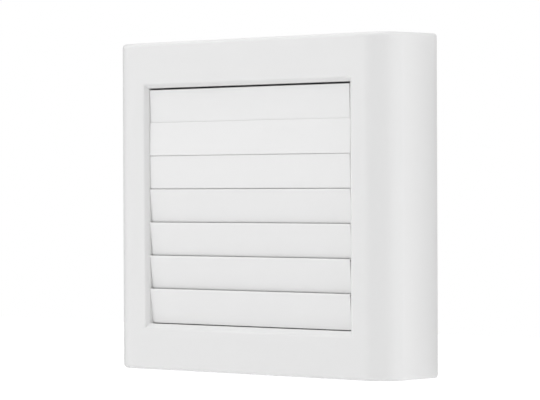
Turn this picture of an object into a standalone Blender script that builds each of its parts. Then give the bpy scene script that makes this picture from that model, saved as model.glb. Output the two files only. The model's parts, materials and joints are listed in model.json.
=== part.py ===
"""Room unit of a through-wall heat recovery ventilator, as separate named parts.

The room is towards -Y and +Z is up. A short sleeve behind the wall plane holds the fan, the
ceramic regenerator and the filters, and pushes into a round duct in the wall. The parts are
laid out from the centre of the wall plane, and the last step moves them all along Y, so that
the origin is the middle of the overall box.
"""

import math

import bmesh
import bpy
from mathutils import Matrix, Vector

MM = 0.001
GAP = 0.3 * MM  # between pieces that touch on the real object

# Casing
CASE_SIZE = 220 * MM  # width and height at the wall
CASE_DEPTH = 58 * MM
CASE_TAPER = 1.5 * MM  # mould draft: each side is this much narrower at the front
CASE_WALL = 2.2 * MM
CORNER_R = 18 * MM  # the two upright front edges
EDGE_R = 2.5 * MM  # the edges round the top and bottom faces

# Louvre opening, inside the sloping bezel
OPENING_W = 158.9 * MM
OPENING_H = 156.7 * MM
BEZEL_W = 2.7 * MM
BEZEL_FOOT = 3.6 * MM  # the bezel is wider along the bottom
BEZEL_DEPTH = 2.6 * MM
BEZEL_LAND = 3 * MM  # material left round the bezel, behind the front wall

# Louvre blades. Heights and depths are measured from the pivot.
BLADE_COUNT = 7
BLADE_PITCH = 22 * MM
BLADE_END_GAP = 0.5 * MM
BLADE_T = 1.8 * MM
BLADE_FACE = -2.5 * MM
BLADE_TOP = 5.0 * MM
BLADE_FOOT = -17.7 * MM  # lower edge of the last blade, which laps nothing
BLADE_LAP = 1.1 * MM  # how far a lower lip runs behind the next blade
BLADE_JOINT = 0.3 * MM  # open line between two blades
LIP_T = 0.9 * MM
LIP_STEP = 0.5 * MM  # the lower lip stands this far behind the panel's back
TOP_GAP = 0.95 * MM
PIVOT_R = 1.25 * MM
PIVOT_PLAY = 0.25 * MM
PIVOT_Y = -52 * MM
TOP_PIVOT_Z = OPENING_H / 2 - TOP_GAP - BLADE_TOP
OPEN_ANGLE = 75.0
# Play in the pivots and the linkage leaves the blades hanging a little unevenly, as degrees of
# tilt and as a shift along the pivot.
REST_TILT = (2.0, -1.0, 1.5, 5.5, 6.0, 7.0, 7.0)
REST_SHIFT = (-0.2 * MM, 0.25 * MM, 0, 0.2 * MM, 0.2 * MM, -0.15 * MM, -0.15 * MM)
NOMINAL_TILT = 4.0

# Linkage, outside the left cheek of the louvre frame
CRANK = 8 * MM
CRANK_X = -85.1 * MM
CRANK_T = 1.8 * MM
LINK_X = -87.6 * MM
LINK_T = 2.0 * MM
LINK_W = 7 * MM
LINK_END = 5 * MM  # beyond the first and last pins
CRANK_R = 2.1 * MM
CRANK_PIN_R = 1.1 * MM
LINK_HOLE_R = 2.1 * MM

# Wax actuator below the link bar and spring above it
ACTUATOR_Y = PIVOT_Y + 7.3 * MM  # under the middle of the link bar's swing
ACTUATOR_TOP = -71.5 * MM
ACTUATOR_FOOT = -103 * MM
ACTUATOR_SCREW_Z = (-99 * MM, -90 * MM)
PLUNGER_R = 2.4 * MM
PLATE_X = (-83.6 * MM, -81.2 * MM)  # the frame's plate and post, beside the cranks
SPRING_SPACE = 23 * MM

# Louvre frame
FRAME_FRONT = -(CASE_DEPTH - BEZEL_DEPTH) + 0.4 * MM
FRAME_BACK = FRAME_FRONT + 10 * MM
CHEEK_T = 3 * MM
FRAME_WALL = 1.8 * MM
FRAME_FIX_X = 70 * MM
FRAME_FIX_Z = 91 * MM
EAR_T = 2 * MM
EAR_FRONT = FRAME_BACK - EAR_T

# Duct sleeve and what slides into it
SLEEVE_R = 62.5 * MM
SLEEVE_WALL = 2 * MM
SLEEVE_FRONT = -24 * MM
SLEEVE_BACK = 80 * MM
BORE_R = SLEEVE_R - SLEEVE_WALL
FAN_FRONT = -20 * MM
FAN_BACK = 6 * MM
FAN_BORE_R = 56 * MM
HUB_R = 22 * MM
FAN_BLADES = 7
CORE_FRONT = 10 * MM
CORE_BACK = 69.7 * MM
CORE_R = 57.5 * MM
CORE_PITCH = 12.4 * MM  # channel spacing of the ceramic block
CORE_CHANNEL = 8.6 * MM
PLATE_T = 3 * MM
WALL_SLOT = 95 * MM  # wall screws, each way from the centre

# Control board, below the sleeve
BOARD_X = (-58 * MM, 72 * MM)
BOARD_Z = (-102 * MM, -70 * MM)
BOARD_Y = -11.2 * MM
BOARD_T = 1.6 * MM
BOARD_FACE = BOARD_Y - BOARD_T / 2 - GAP
BOARD_POSTS = ((-52 * MM, -96 * MM), (66 * MM, -96 * MM), (-52 * MM, -76 * MM), (66 * MM, -76 * MM))
PLUG_X = -40 * MM
PLUG_Z = -93 * MM
PLUG_FRONT = -44 * MM
CABLE_R = 1.1 * MM
CABLE_Z = -58.7 * MM  # fan cable, in a groove between the fan and the sleeve
CABLE_EXIT_Y = -21 * MM

ROUND = 36  # facets of a large round part
SMALL_ROUND = 16
SCREW_ROUND = 12
CORNERS = ((-1, -1), (1, -1), (-1, 1), (1, 1))

COLOURS = {
    "casing_white": ((0.86, 0.86, 0.86), 0.35, 0.0),
    "louvre_white": ((0.87, 0.87, 0.87), 0.38, 0.0),
    "frame_white": ((0.78, 0.78, 0.78), 0.5, 0.0),
    "sleeve_grey": ((0.62, 0.63, 0.64), 0.5, 0.0),
    "fan_black": ((0.03, 0.03, 0.035), 0.45, 0.0),
    "steel": ((0.55, 0.55, 0.56), 0.3, 1.0),
    "copper_winding": ((0.55, 0.23, 0.1), 0.4, 1.0),
    "ceramic": ((0.8, 0.76, 0.68), 0.85, 0.0),
    "foam_dark": ((0.06, 0.06, 0.065), 0.95, 0.0),
    "filter_fleece": ((0.88, 0.89, 0.9), 0.95, 0.0),
    "rubber_black": ((0.02, 0.02, 0.02), 0.7, 0.0),
    "board_green": ((0.02, 0.16, 0.07), 0.5, 0.0),
    "component_black": ((0.03, 0.03, 0.03), 0.5, 0.0),
    "terminal_green": ((0.05, 0.32, 0.14), 0.45, 0.0),
    "cable_grey": ((0.25, 0.25, 0.26), 0.6, 0.0),
}


# ---------------------------------------------------------------- scene and helpers


def clear_scene():
    for obj in list(bpy.data.objects):
        bpy.data.objects.remove(obj)


def collection(name):
    made = bpy.data.collections.new(name)
    bpy.context.scene.collection.children.link(made)
    return made


def material(name):
    found = bpy.data.materials.get(name)
    if found:
        return found
    colour, roughness, metallic = COLOURS[name]
    made = bpy.data.materials.new(name)
    made.use_nodes = True
    shader = made.node_tree.nodes["Principled BSDF"]
    shader.inputs["Base Color"].default_value = (*colour, 1)
    shader.inputs["Roughness"].default_value = roughness
    shader.inputs["Metallic"].default_value = metallic
    return made


def add_object(name, mesh, finish=None):
    """A part if it has a finish, and otherwise a cutter that no render shows."""
    obj = bpy.data.objects.new(name, mesh)
    if finish:
        PARTS.objects.link(obj)
        mesh.materials.append(material(finish))
    else:
        CUTTERS.objects.link(obj)
        obj.hide_render = True
        obj.display_type = "WIRE"
    return obj


def mesh_from(name, build):
    bm = bmesh.new()
    build(bm)
    mesh = bpy.data.meshes.new(name)
    bm.to_mesh(mesh)
    bm.free()
    return mesh


def box(name, corner, opposite, finish=None):
    """A box between two opposite corners, with its origin at its centre."""
    low = Vector(map(min, corner, opposite))
    high = Vector(map(max, corner, opposite))
    size = high - low

    def build(bm):
        bmesh.ops.create_cube(bm, size=1)
        bmesh.ops.scale(bm, vec=size, verts=bm.verts)

    obj = add_object(name, mesh_from(name, build), finish)
    obj.location = (low + high) / 2
    return obj


AXIS_TURN = {
    "X": Matrix(((0, 0, 1), (1, 0, 0), (0, 1, 0))),
    "Y": Matrix(((1, 0, 0), (0, 0, 1), (0, -1, 0))),
    "Z": Matrix.Identity(3),
}


def cylinder(name, radius, start, end, axis="Y", at=(0, 0), finish=None, facets=SMALL_ROUND):
    """A cylinder along a world axis, from start to end, at the two other coordinates."""

    def build(bm):
        bmesh.ops.create_cone(
            bm, cap_ends=True, segments=facets, radius1=radius, radius2=radius, depth=end - start
        )

    obj = add_object(name, mesh_from(name, build), finish)
    obj.rotation_euler = AXIS_TURN[axis].to_euler()
    middle = (start + end) / 2
    a, b = at
    obj.location = {"X": (middle, a, b), "Y": (a, middle, b), "Z": (a, b, middle)}[axis]
    smooth(obj)
    return obj


def smooth(obj, angle=40):
    if obj.type == "MESH":
        obj.data.shade_smooth()
        obj.data.set_sharp_from_angle(angle=math.radians(angle))


def turned(name, profile, finish=None, facets=ROUND):
    """A closed profile of (radius, y) points, turned about the Y axis. Its outer side runs towards -Y."""
    mesh = bpy.data.meshes.new(name)
    points = [(radius, 0, y) for radius, y in profile]
    count = len(points)
    edges = [(i, (i + 1) % count) for i in range(count)]
    off_axis = [(a, b) for a, b in edges if points[a][0] > 0 or points[b][0] > 0]
    mesh.from_pydata(points, off_axis, [])
    obj = add_object(name, mesh, finish)
    obj.rotation_euler = (-math.pi / 2, 0, 0)
    screw = obj.modifiers.new("Turn", "SCREW")
    screw.steps = screw.render_steps = facets
    screw.use_merge_vertices = True
    screw.merge_threshold = 0.00001
    screw.use_smooth_shade = True
    return obj


def ring(name, inner, outer, front, back, finish=None, facets=ROUND):
    profile = [(outer, back), (outer, front), (inner, front), (inner, back)]
    return turned(name, profile, finish, facets)


def to_mesh(obj, weld=0.000001):
    """The object as the viewport evaluates it, as a new mesh with no modifiers. The old object goes."""
    bpy.context.view_layer.update()
    graph = bpy.context.evaluated_depsgraph_get()
    mesh = bpy.data.meshes.new_from_object(obj.evaluated_get(graph))
    bm = bmesh.new()
    bm.from_mesh(mesh)
    bmesh.ops.remove_doubles(bm, verts=bm.verts, dist=weld)
    bm.to_mesh(mesh)
    bm.free()
    made = bpy.data.objects.new(obj.name + "_mesh", mesh)
    for owner in obj.users_collection:
        owner.objects.link(made)
    made.matrix_world = obj.matrix_world
    made.hide_render = obj.hide_render
    made.display_type = obj.display_type
    name = obj.name
    bpy.data.objects.remove(obj)
    made.name = name
    return made


def slab(name, loops, thickness, axis, centre, finish=None):
    """A flat outline with holes, made solid along a world axis.

    Points are (y, z) for axis X, (x, z) for axis Y and (x, y) for axis Z.
    """
    curve = bpy.data.curves.new(name, "CURVE")
    curve.dimensions = "2D"
    curve.fill_mode = "BOTH"
    curve.extrude = thickness / 2
    for loop in loops:
        spline = curve.splines.new("POLY")
        spline.points.add(len(loop) - 1)
        for point, (u, v) in zip(spline.points, loop):
            point.co = (u, v, 0, 1)
        spline.use_cyclic_u = True
    obj = add_object(name, curve, finish)
    obj.rotation_euler = {
        "X": AXIS_TURN["X"].to_euler(),
        "Y": (math.pi / 2, 0, 0),
        "Z": (0, 0, 0),
    }[axis]
    obj.location = {"X": (centre, 0, 0), "Y": (0, centre, 0), "Z": (0, 0, centre)}[axis]
    return to_mesh(obj)


def rectangle(low_u, low_v, high_u, high_v):
    return [(low_u, low_v), (high_u, low_v), (high_u, high_v), (low_u, high_v)]


def arc(centre, radius, start, end, steps):
    """Points from start to end, in degrees."""
    angles = [math.radians(start + (end - start) * i / steps) for i in range(steps + 1)]
    return [(centre[0] + radius * math.cos(a), centre[1] + radius * math.sin(a)) for a in angles]


def circle(centre, radius, facets=SMALL_ROUND):
    return arc(centre, radius, 0, 360 - 360 / facets, facets - 1)


def rounded_rectangle(half_u, half_v, radius, steps=3):
    points = []
    for sign_u, sign_v, start in ((1, 1, 0), (-1, 1, 90), (-1, -1, 180), (1, -1, 270)):
        centre = (sign_u * (half_u - radius), sign_v * (half_v - radius))
        points += arc(centre, radius, start, start + 90, steps)
    return points


def capsule(first, second, radius, steps=5):
    """The outline round two equal circles."""
    heading = math.degrees(math.atan2(second[1] - first[1], second[0] - first[0]))
    far = arc(second, radius, heading - 90, heading + 90, steps)
    return far + arc(first, radius, heading + 90, heading + 270, steps)


def combine(target, other, operation):
    modifier = target.modifiers.new(operation.title(), "BOOLEAN")
    modifier.operation = operation
    modifier.object = other
    return target


def cut(target, *cutters):
    for cutter in cutters:
        combine(target, cutter, "DIFFERENCE")
    return target


def join(target, *others):
    for other in others:
        combine(target, other, "UNION")
    return target


def cable(name, points, radius, finish):
    """A round lead along a polyline of world points."""
    curve = bpy.data.curves.new(name, "CURVE")
    curve.dimensions = "3D"
    curve.bevel_depth = radius
    curve.bevel_resolution = 2
    curve.use_fill_caps = True
    spline = curve.splines.new("POLY")
    spline.points.add(len(points) - 1)
    for point, place in zip(spline.points, points):
        point.co = (*place, 1)
    return to_mesh(add_object(name, curve, finish))


def screw(name, at, seat, length, head_r, shank_r, into=1):
    """A pan-head screw with its head on the plane y = seat. It runs into +Y, or into -Y if into is -1."""
    x, z = at
    head_h = head_r * 0.7
    steps = [
        (0, length),
        (shank_r * 0.6, length),
        (shank_r, length - shank_r),
        (shank_r, -GAP),
        (head_r, -GAP),
        (head_r, -GAP - head_h * 0.5),
        (head_r * 0.6, -GAP - head_h),
        (0, -GAP - head_h),
    ]
    profile = [(radius, seat + into * height) for radius, height in steps[::into]]
    made = turned(name, profile, "steel", SCREW_ROUND)
    made.location = (x, 0, z)
    return made


# ---------------------------------------------------------------- front cover


def casing_half(y):
    """Half the casing's width or height at depth y."""
    return CASE_SIZE / 2 - CASE_TAPER * (-y / CASE_DEPTH)


def open_casing(bm):
    """The casing's outer skin: a tapered block with rounded edges and no back."""
    bmesh.ops.create_cube(bm, size=CASE_SIZE)
    for vert in bm.verts:
        is_front = vert.co.y < 0
        vert.co.y = -CASE_DEPTH if is_front else -GAP
        if is_front:
            scale = casing_half(-CASE_DEPTH) / (CASE_SIZE / 2)
            vert.co.x *= scale
            vert.co.z *= scale
    upright = [
        e for e in bm.edges
        if all(v.co.y < -CASE_DEPTH / 2 for v in e.verts)
        and abs(e.verts[0].co.z - e.verts[1].co.z) > CASE_SIZE / 2
    ]
    bmesh.ops.bevel(
        bm, geom=upright, offset=CORNER_R, offset_type="OFFSET", segments=8, profile=0.5, affect="EDGES"
    )
    bm.normal_update()
    ends = [f for f in bm.faces if abs(f.normal.z) > 0.9]
    back = [f for f in bm.faces if f.normal.y > 0.9]
    rims = [e for f in ends for e in f.edges if not any(other in back for other in e.link_faces)]
    bmesh.ops.bevel(
        bm, geom=rims, offset=EDGE_R, offset_type="OFFSET", segments=3, profile=0.5, affect="EDGES"
    )
    bm.normal_update()
    bmesh.ops.delete(bm, geom=[f for f in bm.faces if f.normal.y > 0.9], context="FACES")


def opening_cutter():
    """The louvre opening: a frustum that leaves the sloping bezel, then a straight hole."""
    front = -CASE_DEPTH - MM
    throat = -CASE_DEPTH + BEZEL_DEPTH
    widen = (throat - front) / BEZEL_DEPTH

    def build(bm):
        bmesh.ops.create_cube(bm, size=1)
        for vert in bm.verts:
            is_front = vert.co.y < 0
            spread = widen if is_front else 0
            height = BEZEL_W if vert.co.z > 0 else BEZEL_FOOT
            vert.co.x = math.copysign(OPENING_W / 2 + spread * BEZEL_W, vert.co.x)
            vert.co.z = math.copysign(OPENING_H / 2 + spread * height, vert.co.z)
            vert.co.y = front if is_front else throat
        bm.normal_update()
        rear = [face for face in bm.faces if face.normal.y > 0.9]
        grown = bmesh.ops.extrude_face_region(bm, geom=rear)
        moved = [item for item in grown["geom"] if isinstance(item, bmesh.types.BMVert)]
        bmesh.ops.translate(bm, vec=(0, 2 * MM, 0), verts=moved)
        bmesh.ops.delete(bm, geom=rear, context="FACES_ONLY")

    return add_object("opening_cutter", mesh_from("opening_cutter", build))


def front_cover():
    cover = add_object("front_cover", mesh_from("front_cover", open_casing), "casing_white")
    shell = cover.modifiers.new("Wall", "SOLIDIFY")
    shell.thickness = CASE_WALL
    shell.offset = -1
    shell.use_even_offset = True

    outer_w = OPENING_W / 2 + BEZEL_W + BEZEL_LAND
    outer_h = OPENING_H / 2 + BEZEL_W + BEZEL_LAND
    land_front = -CASE_DEPTH + CASE_WALL / 2
    land_back = FRAME_FRONT - GAP
    land = box("bezel_land", (-outer_w, land_front, -outer_h), (outer_w, land_back, outer_h))
    join(cover, land)
    cut(cover, opening_cutter())

    boss_front = -CASE_DEPTH + MM
    boss_back = EAR_FRONT - GAP
    for index, (side, end) in enumerate(CORNERS):
        at = (side * FRAME_FIX_X, end * FRAME_FIX_Z)
        boss = cylinder(f"cover_boss_{index}", 3.5 * MM, boss_front, boss_back, "Y", at)
        bottom = boss_back - 8 * MM
        pilot = cylinder(f"cover_pilot_{index}", 1.6 * MM, bottom, boss_back + MM, "Y", at, facets=8)
        join(cover, boss)
        cut(cover, pilot)
    smooth(cover)
    return cover


# ---------------------------------------------------------------- louvres and linkage


def pivot_z(index):
    return TOP_PIVOT_Z - index * BLADE_PITCH


def crank_end(tilt):
    """Crank pin from the pivot, as (y, z). The crank swings evenly about level over the full travel."""
    angle = math.radians(-OPEN_ANGLE / 2 + tilt - NOMINAL_TILT)
    return CRANK * math.cos(angle), CRANK * math.sin(angle)


def blade_profile(is_last):
    """Section as (y, z) from the pivot. A thin upper lip laps the lower lip of the blade above."""
    face, back = BLADE_FACE, BLADE_FACE + BLADE_T
    crown = 0.35 * MM
    upper = [
        (face, BLADE_TOP - crown),
        (face + crown, BLADE_TOP),
        (face + LIP_T, BLADE_TOP),
        (face + LIP_T, BLADE_TOP - 1.6 * MM),
        (back, BLADE_TOP - 2.4 * MM),
    ]
    if is_last:
        return [*upper, (back, BLADE_FOOT), (face + crown, BLADE_FOOT), (face, BLADE_FOOT + crown)]
    step = BLADE_TOP - BLADE_PITCH + BLADE_JOINT
    end = BLADE_TOP - BLADE_PITCH - BLADE_LAP
    lip_back = back + LIP_STEP
    return [
        *upper,
        (back, step + 2 * MM),
        (lip_back, step + MM),
        (lip_back, end),
        (lip_back - LIP_T, end),
        (lip_back - LIP_T, step + 0.3 * MM),
        (face + crown, step),
        (face, step + crown),
    ]


def blade_mesh(is_last):
    """Panel, pivot rod, crank and crank pin as one moulding, about the pivot."""
    half = OPENING_W / 2 - BLADE_END_GAP
    panel = slab("blade_panel", [blade_profile(is_last)], 2 * half, "X", 0)
    rod_end = OPENING_W / 2 + CHEEK_T - 0.2 * MM
    rod = cylinder("blade_rod", PIVOT_R, CRANK_X, rod_end, "X", facets=12)
    pin = crank_end(0)
    stud_end = LINK_X - LINK_T / 2 - 0.9 * MM
    crank = slab("blade_crank", [capsule((0, 0), pin, CRANK_R)], CRANK_T, "X", CRANK_X)
    stud = cylinder("blade_stud", CRANK_PIN_R, stud_end, CRANK_X, "X", pin, facets=12)
    made = to_mesh(join(panel, rod, crank, stud))
    mesh = made.data
    mesh.transform(made.matrix_world)
    for leftover in (made, rod, crank, stud):
        bpy.data.objects.remove(leftover)
    mesh.materials.append(material("louvre_white"))
    mesh.shade_smooth()
    mesh.set_sharp_from_angle(angle=math.radians(30))
    return mesh


def louvres():
    lapped, last = blade_mesh(False), blade_mesh(True)
    for index in range(BLADE_COUNT):
        mesh = last if index == BLADE_COUNT - 1 else lapped
        blade = bpy.data.objects.new(f"louvre_blade_{index + 1}", mesh)
        PARTS.objects.link(blade)
        blade.location = (REST_SHIFT[index], PIVOT_Y, pivot_z(index))
        blade.rotation_euler = (math.radians(REST_TILT[index]), 0, 0)


def link_bar():
    """The bar that joins the cranks. Its origin is on the first blade's crank pin."""
    pin_y, pin_z = crank_end(REST_TILT[0])
    bottom = -(BLADE_COUNT - 1) * BLADE_PITCH - LINK_END
    top = LINK_END
    holes = [circle((0, -index * BLADE_PITCH), LINK_HOLE_R, 12) for index in range(BLADE_COUNT)]
    outline = rectangle(-LINK_W / 2, bottom, LINK_W / 2, top)
    bar = slab("link_bar", [outline, *holes], LINK_T, "X", LINK_X, "frame_white")
    bar.location.y = PIVOT_Y + pin_y
    bar.location.z = pivot_z(0) + pin_z
    stub = cylinder(
        "link_stub", 0.9 * MM, top - MM, top + 6 * MM, "Z", (LINK_X, 0), facets=10
    )
    stub.location.y = bar.location.y
    stub.location.z += bar.location.z
    join(bar, stub)
    return bar.location.z + top, bar.location.z + bottom


def keyhole(index):
    """The snap-in slot for a pivot: a round seat with a narrower way in from behind, as (y, z)."""
    centre = (PIVOT_Y, pivot_z(index))
    neck = 1.1 * MM
    seat_r = PIVOT_R + PIVOT_PLAY
    start = math.degrees(math.asin(neck / seat_r))
    seat = arc(centre, seat_r, start, 360 - start, 8)
    return seat + [(FRAME_BACK + MM, centre[1] - neck), (FRAME_BACK + MM, centre[1] + neck)]


def louvre_frame(spring_top):
    """A shallow frame behind the bezel that carries the blades, the actuator and the spring seat."""
    inner_w, inner_h = OPENING_W / 2, OPENING_H / 2
    outer_w, outer_h = inner_w + CHEEK_T, inner_h + FRAME_WALL
    loops = [
        rectangle(-outer_w, -outer_h, outer_w, outer_h),
        rectangle(-inner_w, -inner_h, inner_w, inner_h),
    ]
    depth = FRAME_BACK - FRAME_FRONT
    frame = slab("louvre_frame", loops, depth, "Y", (FRAME_FRONT + FRAME_BACK) / 2, "frame_white")
    for index, (side, end) in enumerate(CORNERS):
        at = (side * FRAME_FIX_X, end * FRAME_FIX_Z)
        root = (at[0] - 5 * MM, EAR_FRONT, end * (outer_h - MM))
        tip = (at[0] + 5 * MM, FRAME_BACK, at[1] + end * 5 * MM)
        hole = cylinder(
            f"ear_hole_{index}", 1.8 * MM, EAR_FRONT - MM, FRAME_BACK + MM, "Y", at, facets=12
        )
        join(frame, box(f"frame_ear_{index}", root, tip))
        cut(frame, hole)
        screw(f"frame_screw_{index + 1}", at, FRAME_BACK, 8 * MM, 2.6 * MM, 1.3 * MM, into=-1)

    left, right = PLATE_X
    into_rail = inner_h + 0.3 * MM
    seat_top = spring_top + 2 * MM
    tab_front, tab_back = -46 * MM, PLUG_FRONT - GAP
    join(
        frame,
        box("actuator_plate", (left, -53 * MM, ACTUATOR_FOOT), (right, -36 * MM, -into_rail)),
        box("spring_post", (left, -49.5 * MM, into_rail), (right, -43.9 * MM, seat_top - 0.1 * MM)),
        box("spring_seat", (-94 * MM, -50 * MM, spring_top), (right - MM, -39.6 * MM, seat_top)),
        box("plug_tab", (PLUG_X - 7 * MM, tab_front, -100 * MM), (PLUG_X + 7 * MM, tab_back, -into_rail)),
    )
    for index in range(BLADE_COUNT):
        cut(frame, slab(f"keyhole_{index}", [keyhole(index)], 2 * outer_w + 4 * MM, "X", 0))
    for index, z in enumerate(ACTUATOR_SCREW_Z):
        at = (ACTUATOR_Y, z)
        cut(frame, cylinder(f"plate_hole_x_{index}", 1.5 * MM, left - MM, right + MM, "X", at, facets=12))
    return frame


def actuator(link_bottom):
    """Wax actuator: a heated wax capsule in the body pushes the plunger up against the link bar."""
    face = PLATE_X[0] - GAP
    front, back = -50.5 * MM, -36.3 * MM
    low, high = (-99 * MM, front, ACTUATOR_FOOT), (face, back, ACTUATOR_TOP)
    body = box("actuator_body", low, high, "component_black")
    edge = body.modifiers.new("Edges", "BEVEL")
    edge.width = 0.8 * MM
    edge.segments = 2
    under_link = (LINK_X, ACTUATOR_Y)
    bore_end = -86 * MM
    bore_r = PLUNGER_R + 0.4 * MM
    cut(body, cylinder("plunger_bore", bore_r, bore_end, ACTUATOR_TOP + MM, "Z", under_link))
    for index, z in enumerate(ACTUATOR_SCREW_Z):
        at = (ACTUATOR_Y, z)
        pilot = cylinder(f"actuator_pilot_{index}", 1.3 * MM, face - 8 * MM, face + MM, "X", at, facets=12)
        cut(body, pilot)
        actuator_screw(index, at)
    low, high = bore_end + MM, link_bottom - GAP
    cylinder("actuator_plunger", PLUNGER_R, low, high, "Z", under_link, "frame_white")


def actuator_screw(index, at):
    """A short screw along X that holds the actuator to the frame's plate."""
    under_head = PLATE_X[1] + GAP
    name = f"actuator_screw_{index + 1}"
    head_top = under_head + 1.5 * MM
    tip = under_head - 9 * MM
    shank = cylinder(name, MM, tip, under_head + 0.5 * MM, "X", at, "steel", SCREW_ROUND)
    join(shank, cylinder(f"{name}_head", 2.4 * MM, under_head, head_top, "X", at, facets=SCREW_ROUND))


def return_spring(bottom, top):
    """Compression spring that pushes the link bar down and closes the louvres."""
    turns, per_turn = 5, 8
    wire, radius = 0.35 * MM, 2.3 * MM
    low, high = bottom + GAP + wire, top - GAP - wire
    pin_y, _ = crank_end(REST_TILT[0])
    centre_y = PIVOT_Y + pin_y
    points = []
    for step in range(turns * per_turn + 1):
        turn = 2 * math.pi * step / per_turn
        height = low + (high - low) * step / (turns * per_turn)
        points.append((LINK_X + radius * math.cos(turn), centre_y + radius * math.sin(turn), height))
    cable("return_spring", points, wire, "steel")


# ---------------------------------------------------------------- sleeve, fan and regenerator


def cable_notch(name, front, back):
    """Cutter for the way out of the fan cable, at the bottom of the round parts."""
    half = CABLE_R + 0.9 * MM
    return box(name, (-half, front, -70 * MM), (half, back, CABLE_Z + CABLE_R + 0.5 * MM))


def flange_fixings():
    """Screw places round the sleeve's flange, as (x, z)."""
    return arc((0, 0), 67.5 * MM, 45, 315, 3)


def sleeve():
    flange_r = 72 * MM
    flange_back = -PLATE_T - GAP
    flange_front = flange_back - 2.3 * MM
    profile = [
        (SLEEVE_R, SLEEVE_BACK),
        (SLEEVE_R, flange_back),
        (flange_r, flange_back),
        (flange_r, flange_front),
        (SLEEVE_R, flange_front),
        (SLEEVE_R, SLEEVE_FRONT),
        (BORE_R, SLEEVE_FRONT),
        (BORE_R, SLEEVE_BACK),
    ]
    tube = turned("duct_sleeve", profile, "sleeve_grey")
    cut(tube, cable_notch("sleeve_notch", SLEEVE_FRONT - MM, SLEEVE_FRONT + 4.8 * MM))
    for index, at in enumerate(flange_fixings()):
        low, high = flange_front - MM, flange_back + 0.9 * MM
        cut(tube, cylinder(f"flange_hole_{index}", 1.8 * MM, low, high, "Y", at, facets=12))
        screw(f"flange_screw_{index + 1}", at, flange_front, 4 * MM, 2.8 * MM, 1.2 * MM)


def duct_seal():
    """Rubber ring with two lips that seals the sleeve in the wall duct."""
    base, lip = SLEEVE_R + GAP, SLEEVE_R + 3 * MM
    turned(
        "duct_seal",
        [
            (base, 22 * MM),
            (base + 1.2 * MM, 22 * MM),
            (lip, 18.5 * MM),
            (base + 1.2 * MM, 19 * MM),
            (base + 1.2 * MM, 17 * MM),
            (lip, 13.5 * MM),
            (base + 1.2 * MM, 14 * MM),
            (base + 1.2 * MM, 12 * MM),
            (base, 12 * MM),
        ],
        "rubber_black",
    )


def grille(name, outer, front, back, bar_count, bar_width, finish, rim=2.5 * MM):
    """A ring with level bars across it."""
    made = ring(name, outer - rim, outer, front, back, finish)
    spacing = 2 * outer / (bar_count + 1)
    for index in range(bar_count):
        z = -outer + spacing * (index + 1)
        reach = math.sqrt((outer - rim / 2) ** 2 - z * z)
        inset = 0.2 * MM
        low = (-reach, front + inset, z - bar_width / 2)
        high = (reach, back - inset, z + bar_width / 2)
        join(made, box(f"{name}_bar_{index}", low, high))
    upright = box(
        f"{name}_upright",
        (-bar_width / 2, front + 0.4 * MM, -outer + rim / 2),
        (bar_width / 2, back - 0.4 * MM, outer - rim / 2),
    )
    join(made, upright)


def spoke(ring_part, index, angle, reach, half_width, front, back):
    """Join a bar right across a ring, turned by angle about Y."""
    name = f"{ring_part.name}_bar_{index}"
    bar = box(name, (-reach, front, -half_width), (reach, back, half_width))
    bar.rotation_euler = (0, math.radians(angle), 0)
    join(ring_part, bar)


def filter_frame():
    """Cap that clips over the front of the sleeve and holds the room-side filter."""
    front, lip_back = -30.4 * MM, -20 * MM
    inner, outer = SLEEVE_R + 0.6 * MM, SLEEVE_R + 2.4 * MM
    made = turned(
        "filter_frame",
        [
            (outer, lip_back),
            (outer, front + 0.8 * MM),
            (outer - 0.8 * MM, front),
            (55 * MM, front),
            (55 * MM, front + 1.5 * MM),
            (inner, front + 1.5 * MM),
            (inner, lip_back),
        ],
        "frame_white",
    )
    for index in range(3):
        spoke(made, index, 180 / 3 * index, 57 * MM, 1.5 * MM, front + 0.2 * MM, front + 1.3 * MM)
    cut(made, cable_notch("filter_frame_notch", SLEEVE_FRONT, lip_back + MM))


def fan_guard():
    """Finger guard in front of the impeller: three rings on a cross."""
    front, back = -22.2 * MM, -20.4 * MM
    guard = ring("fan_guard", 55.3 * MM, BORE_R - 0.5 * MM, front, back, "fan_black")
    for index in range(3):
        inner = (18 + 13 * index) * MM
        low, high = front + 0.2 * MM, back - 0.2 * MM
        join(guard, ring(f"guard_ring_{index}", inner, inner + 2 * MM, low, high, None, 24))
    for index in range(2):
        spoke(guard, index, 45 + 90 * index, 59 * MM, 1.2 * MM, front + 0.5 * MM, back - 0.5 * MM)
    cut(guard, cable_notch("guard_notch", front - MM, back + MM))


def filter_pads():
    cylinder("room_filter", 60 * MM, -28.6 * MM, -22.5 * MM, finish="filter_fleece", facets=ROUND)
    cylinder("outdoor_filter", 60 * MM, 70 * MM, 76.4 * MM, finish="filter_fleece", facets=ROUND)


def fan_housing():
    """Round frame with a motor seat on four struts and a tube for the bearings."""
    outer = BORE_R - 0.5 * MM
    housing = ring("fan_housing", FAN_BORE_R, outer, FAN_FRONT, FAN_BACK, "fan_black")
    base = cylinder("motor_base", 21 * MM, 3 * MM, FAN_BACK - 0.2 * MM, facets=32)
    tube = cylinder("bearing_tube", 7 * MM, -14 * MM, 4 * MM, facets=24)
    join(housing, base, tube)
    for index in range(4):
        angle = math.radians(45 + 90 * index)
        low, high = (-20 * MM, 3.3 * MM, -2.2 * MM), (20 * MM, FAN_BACK - 0.4 * MM, 2.2 * MM)
        strut = box(f"fan_strut_{index}", low, high)
        reach = 38.5 * MM
        strut.location.x = reach * math.cos(angle)
        strut.location.z = reach * math.sin(angle)
        strut.rotation_euler = (0, -angle, 0)
        join(housing, strut)
    bore = cylinder("bearing_bore", 5.3 * MM, -15 * MM, 3.2 * MM, facets=24)
    cut(housing, bore, cable_notch("lead_groove", FAN_FRONT - MM, FAN_BACK + MM))


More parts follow.
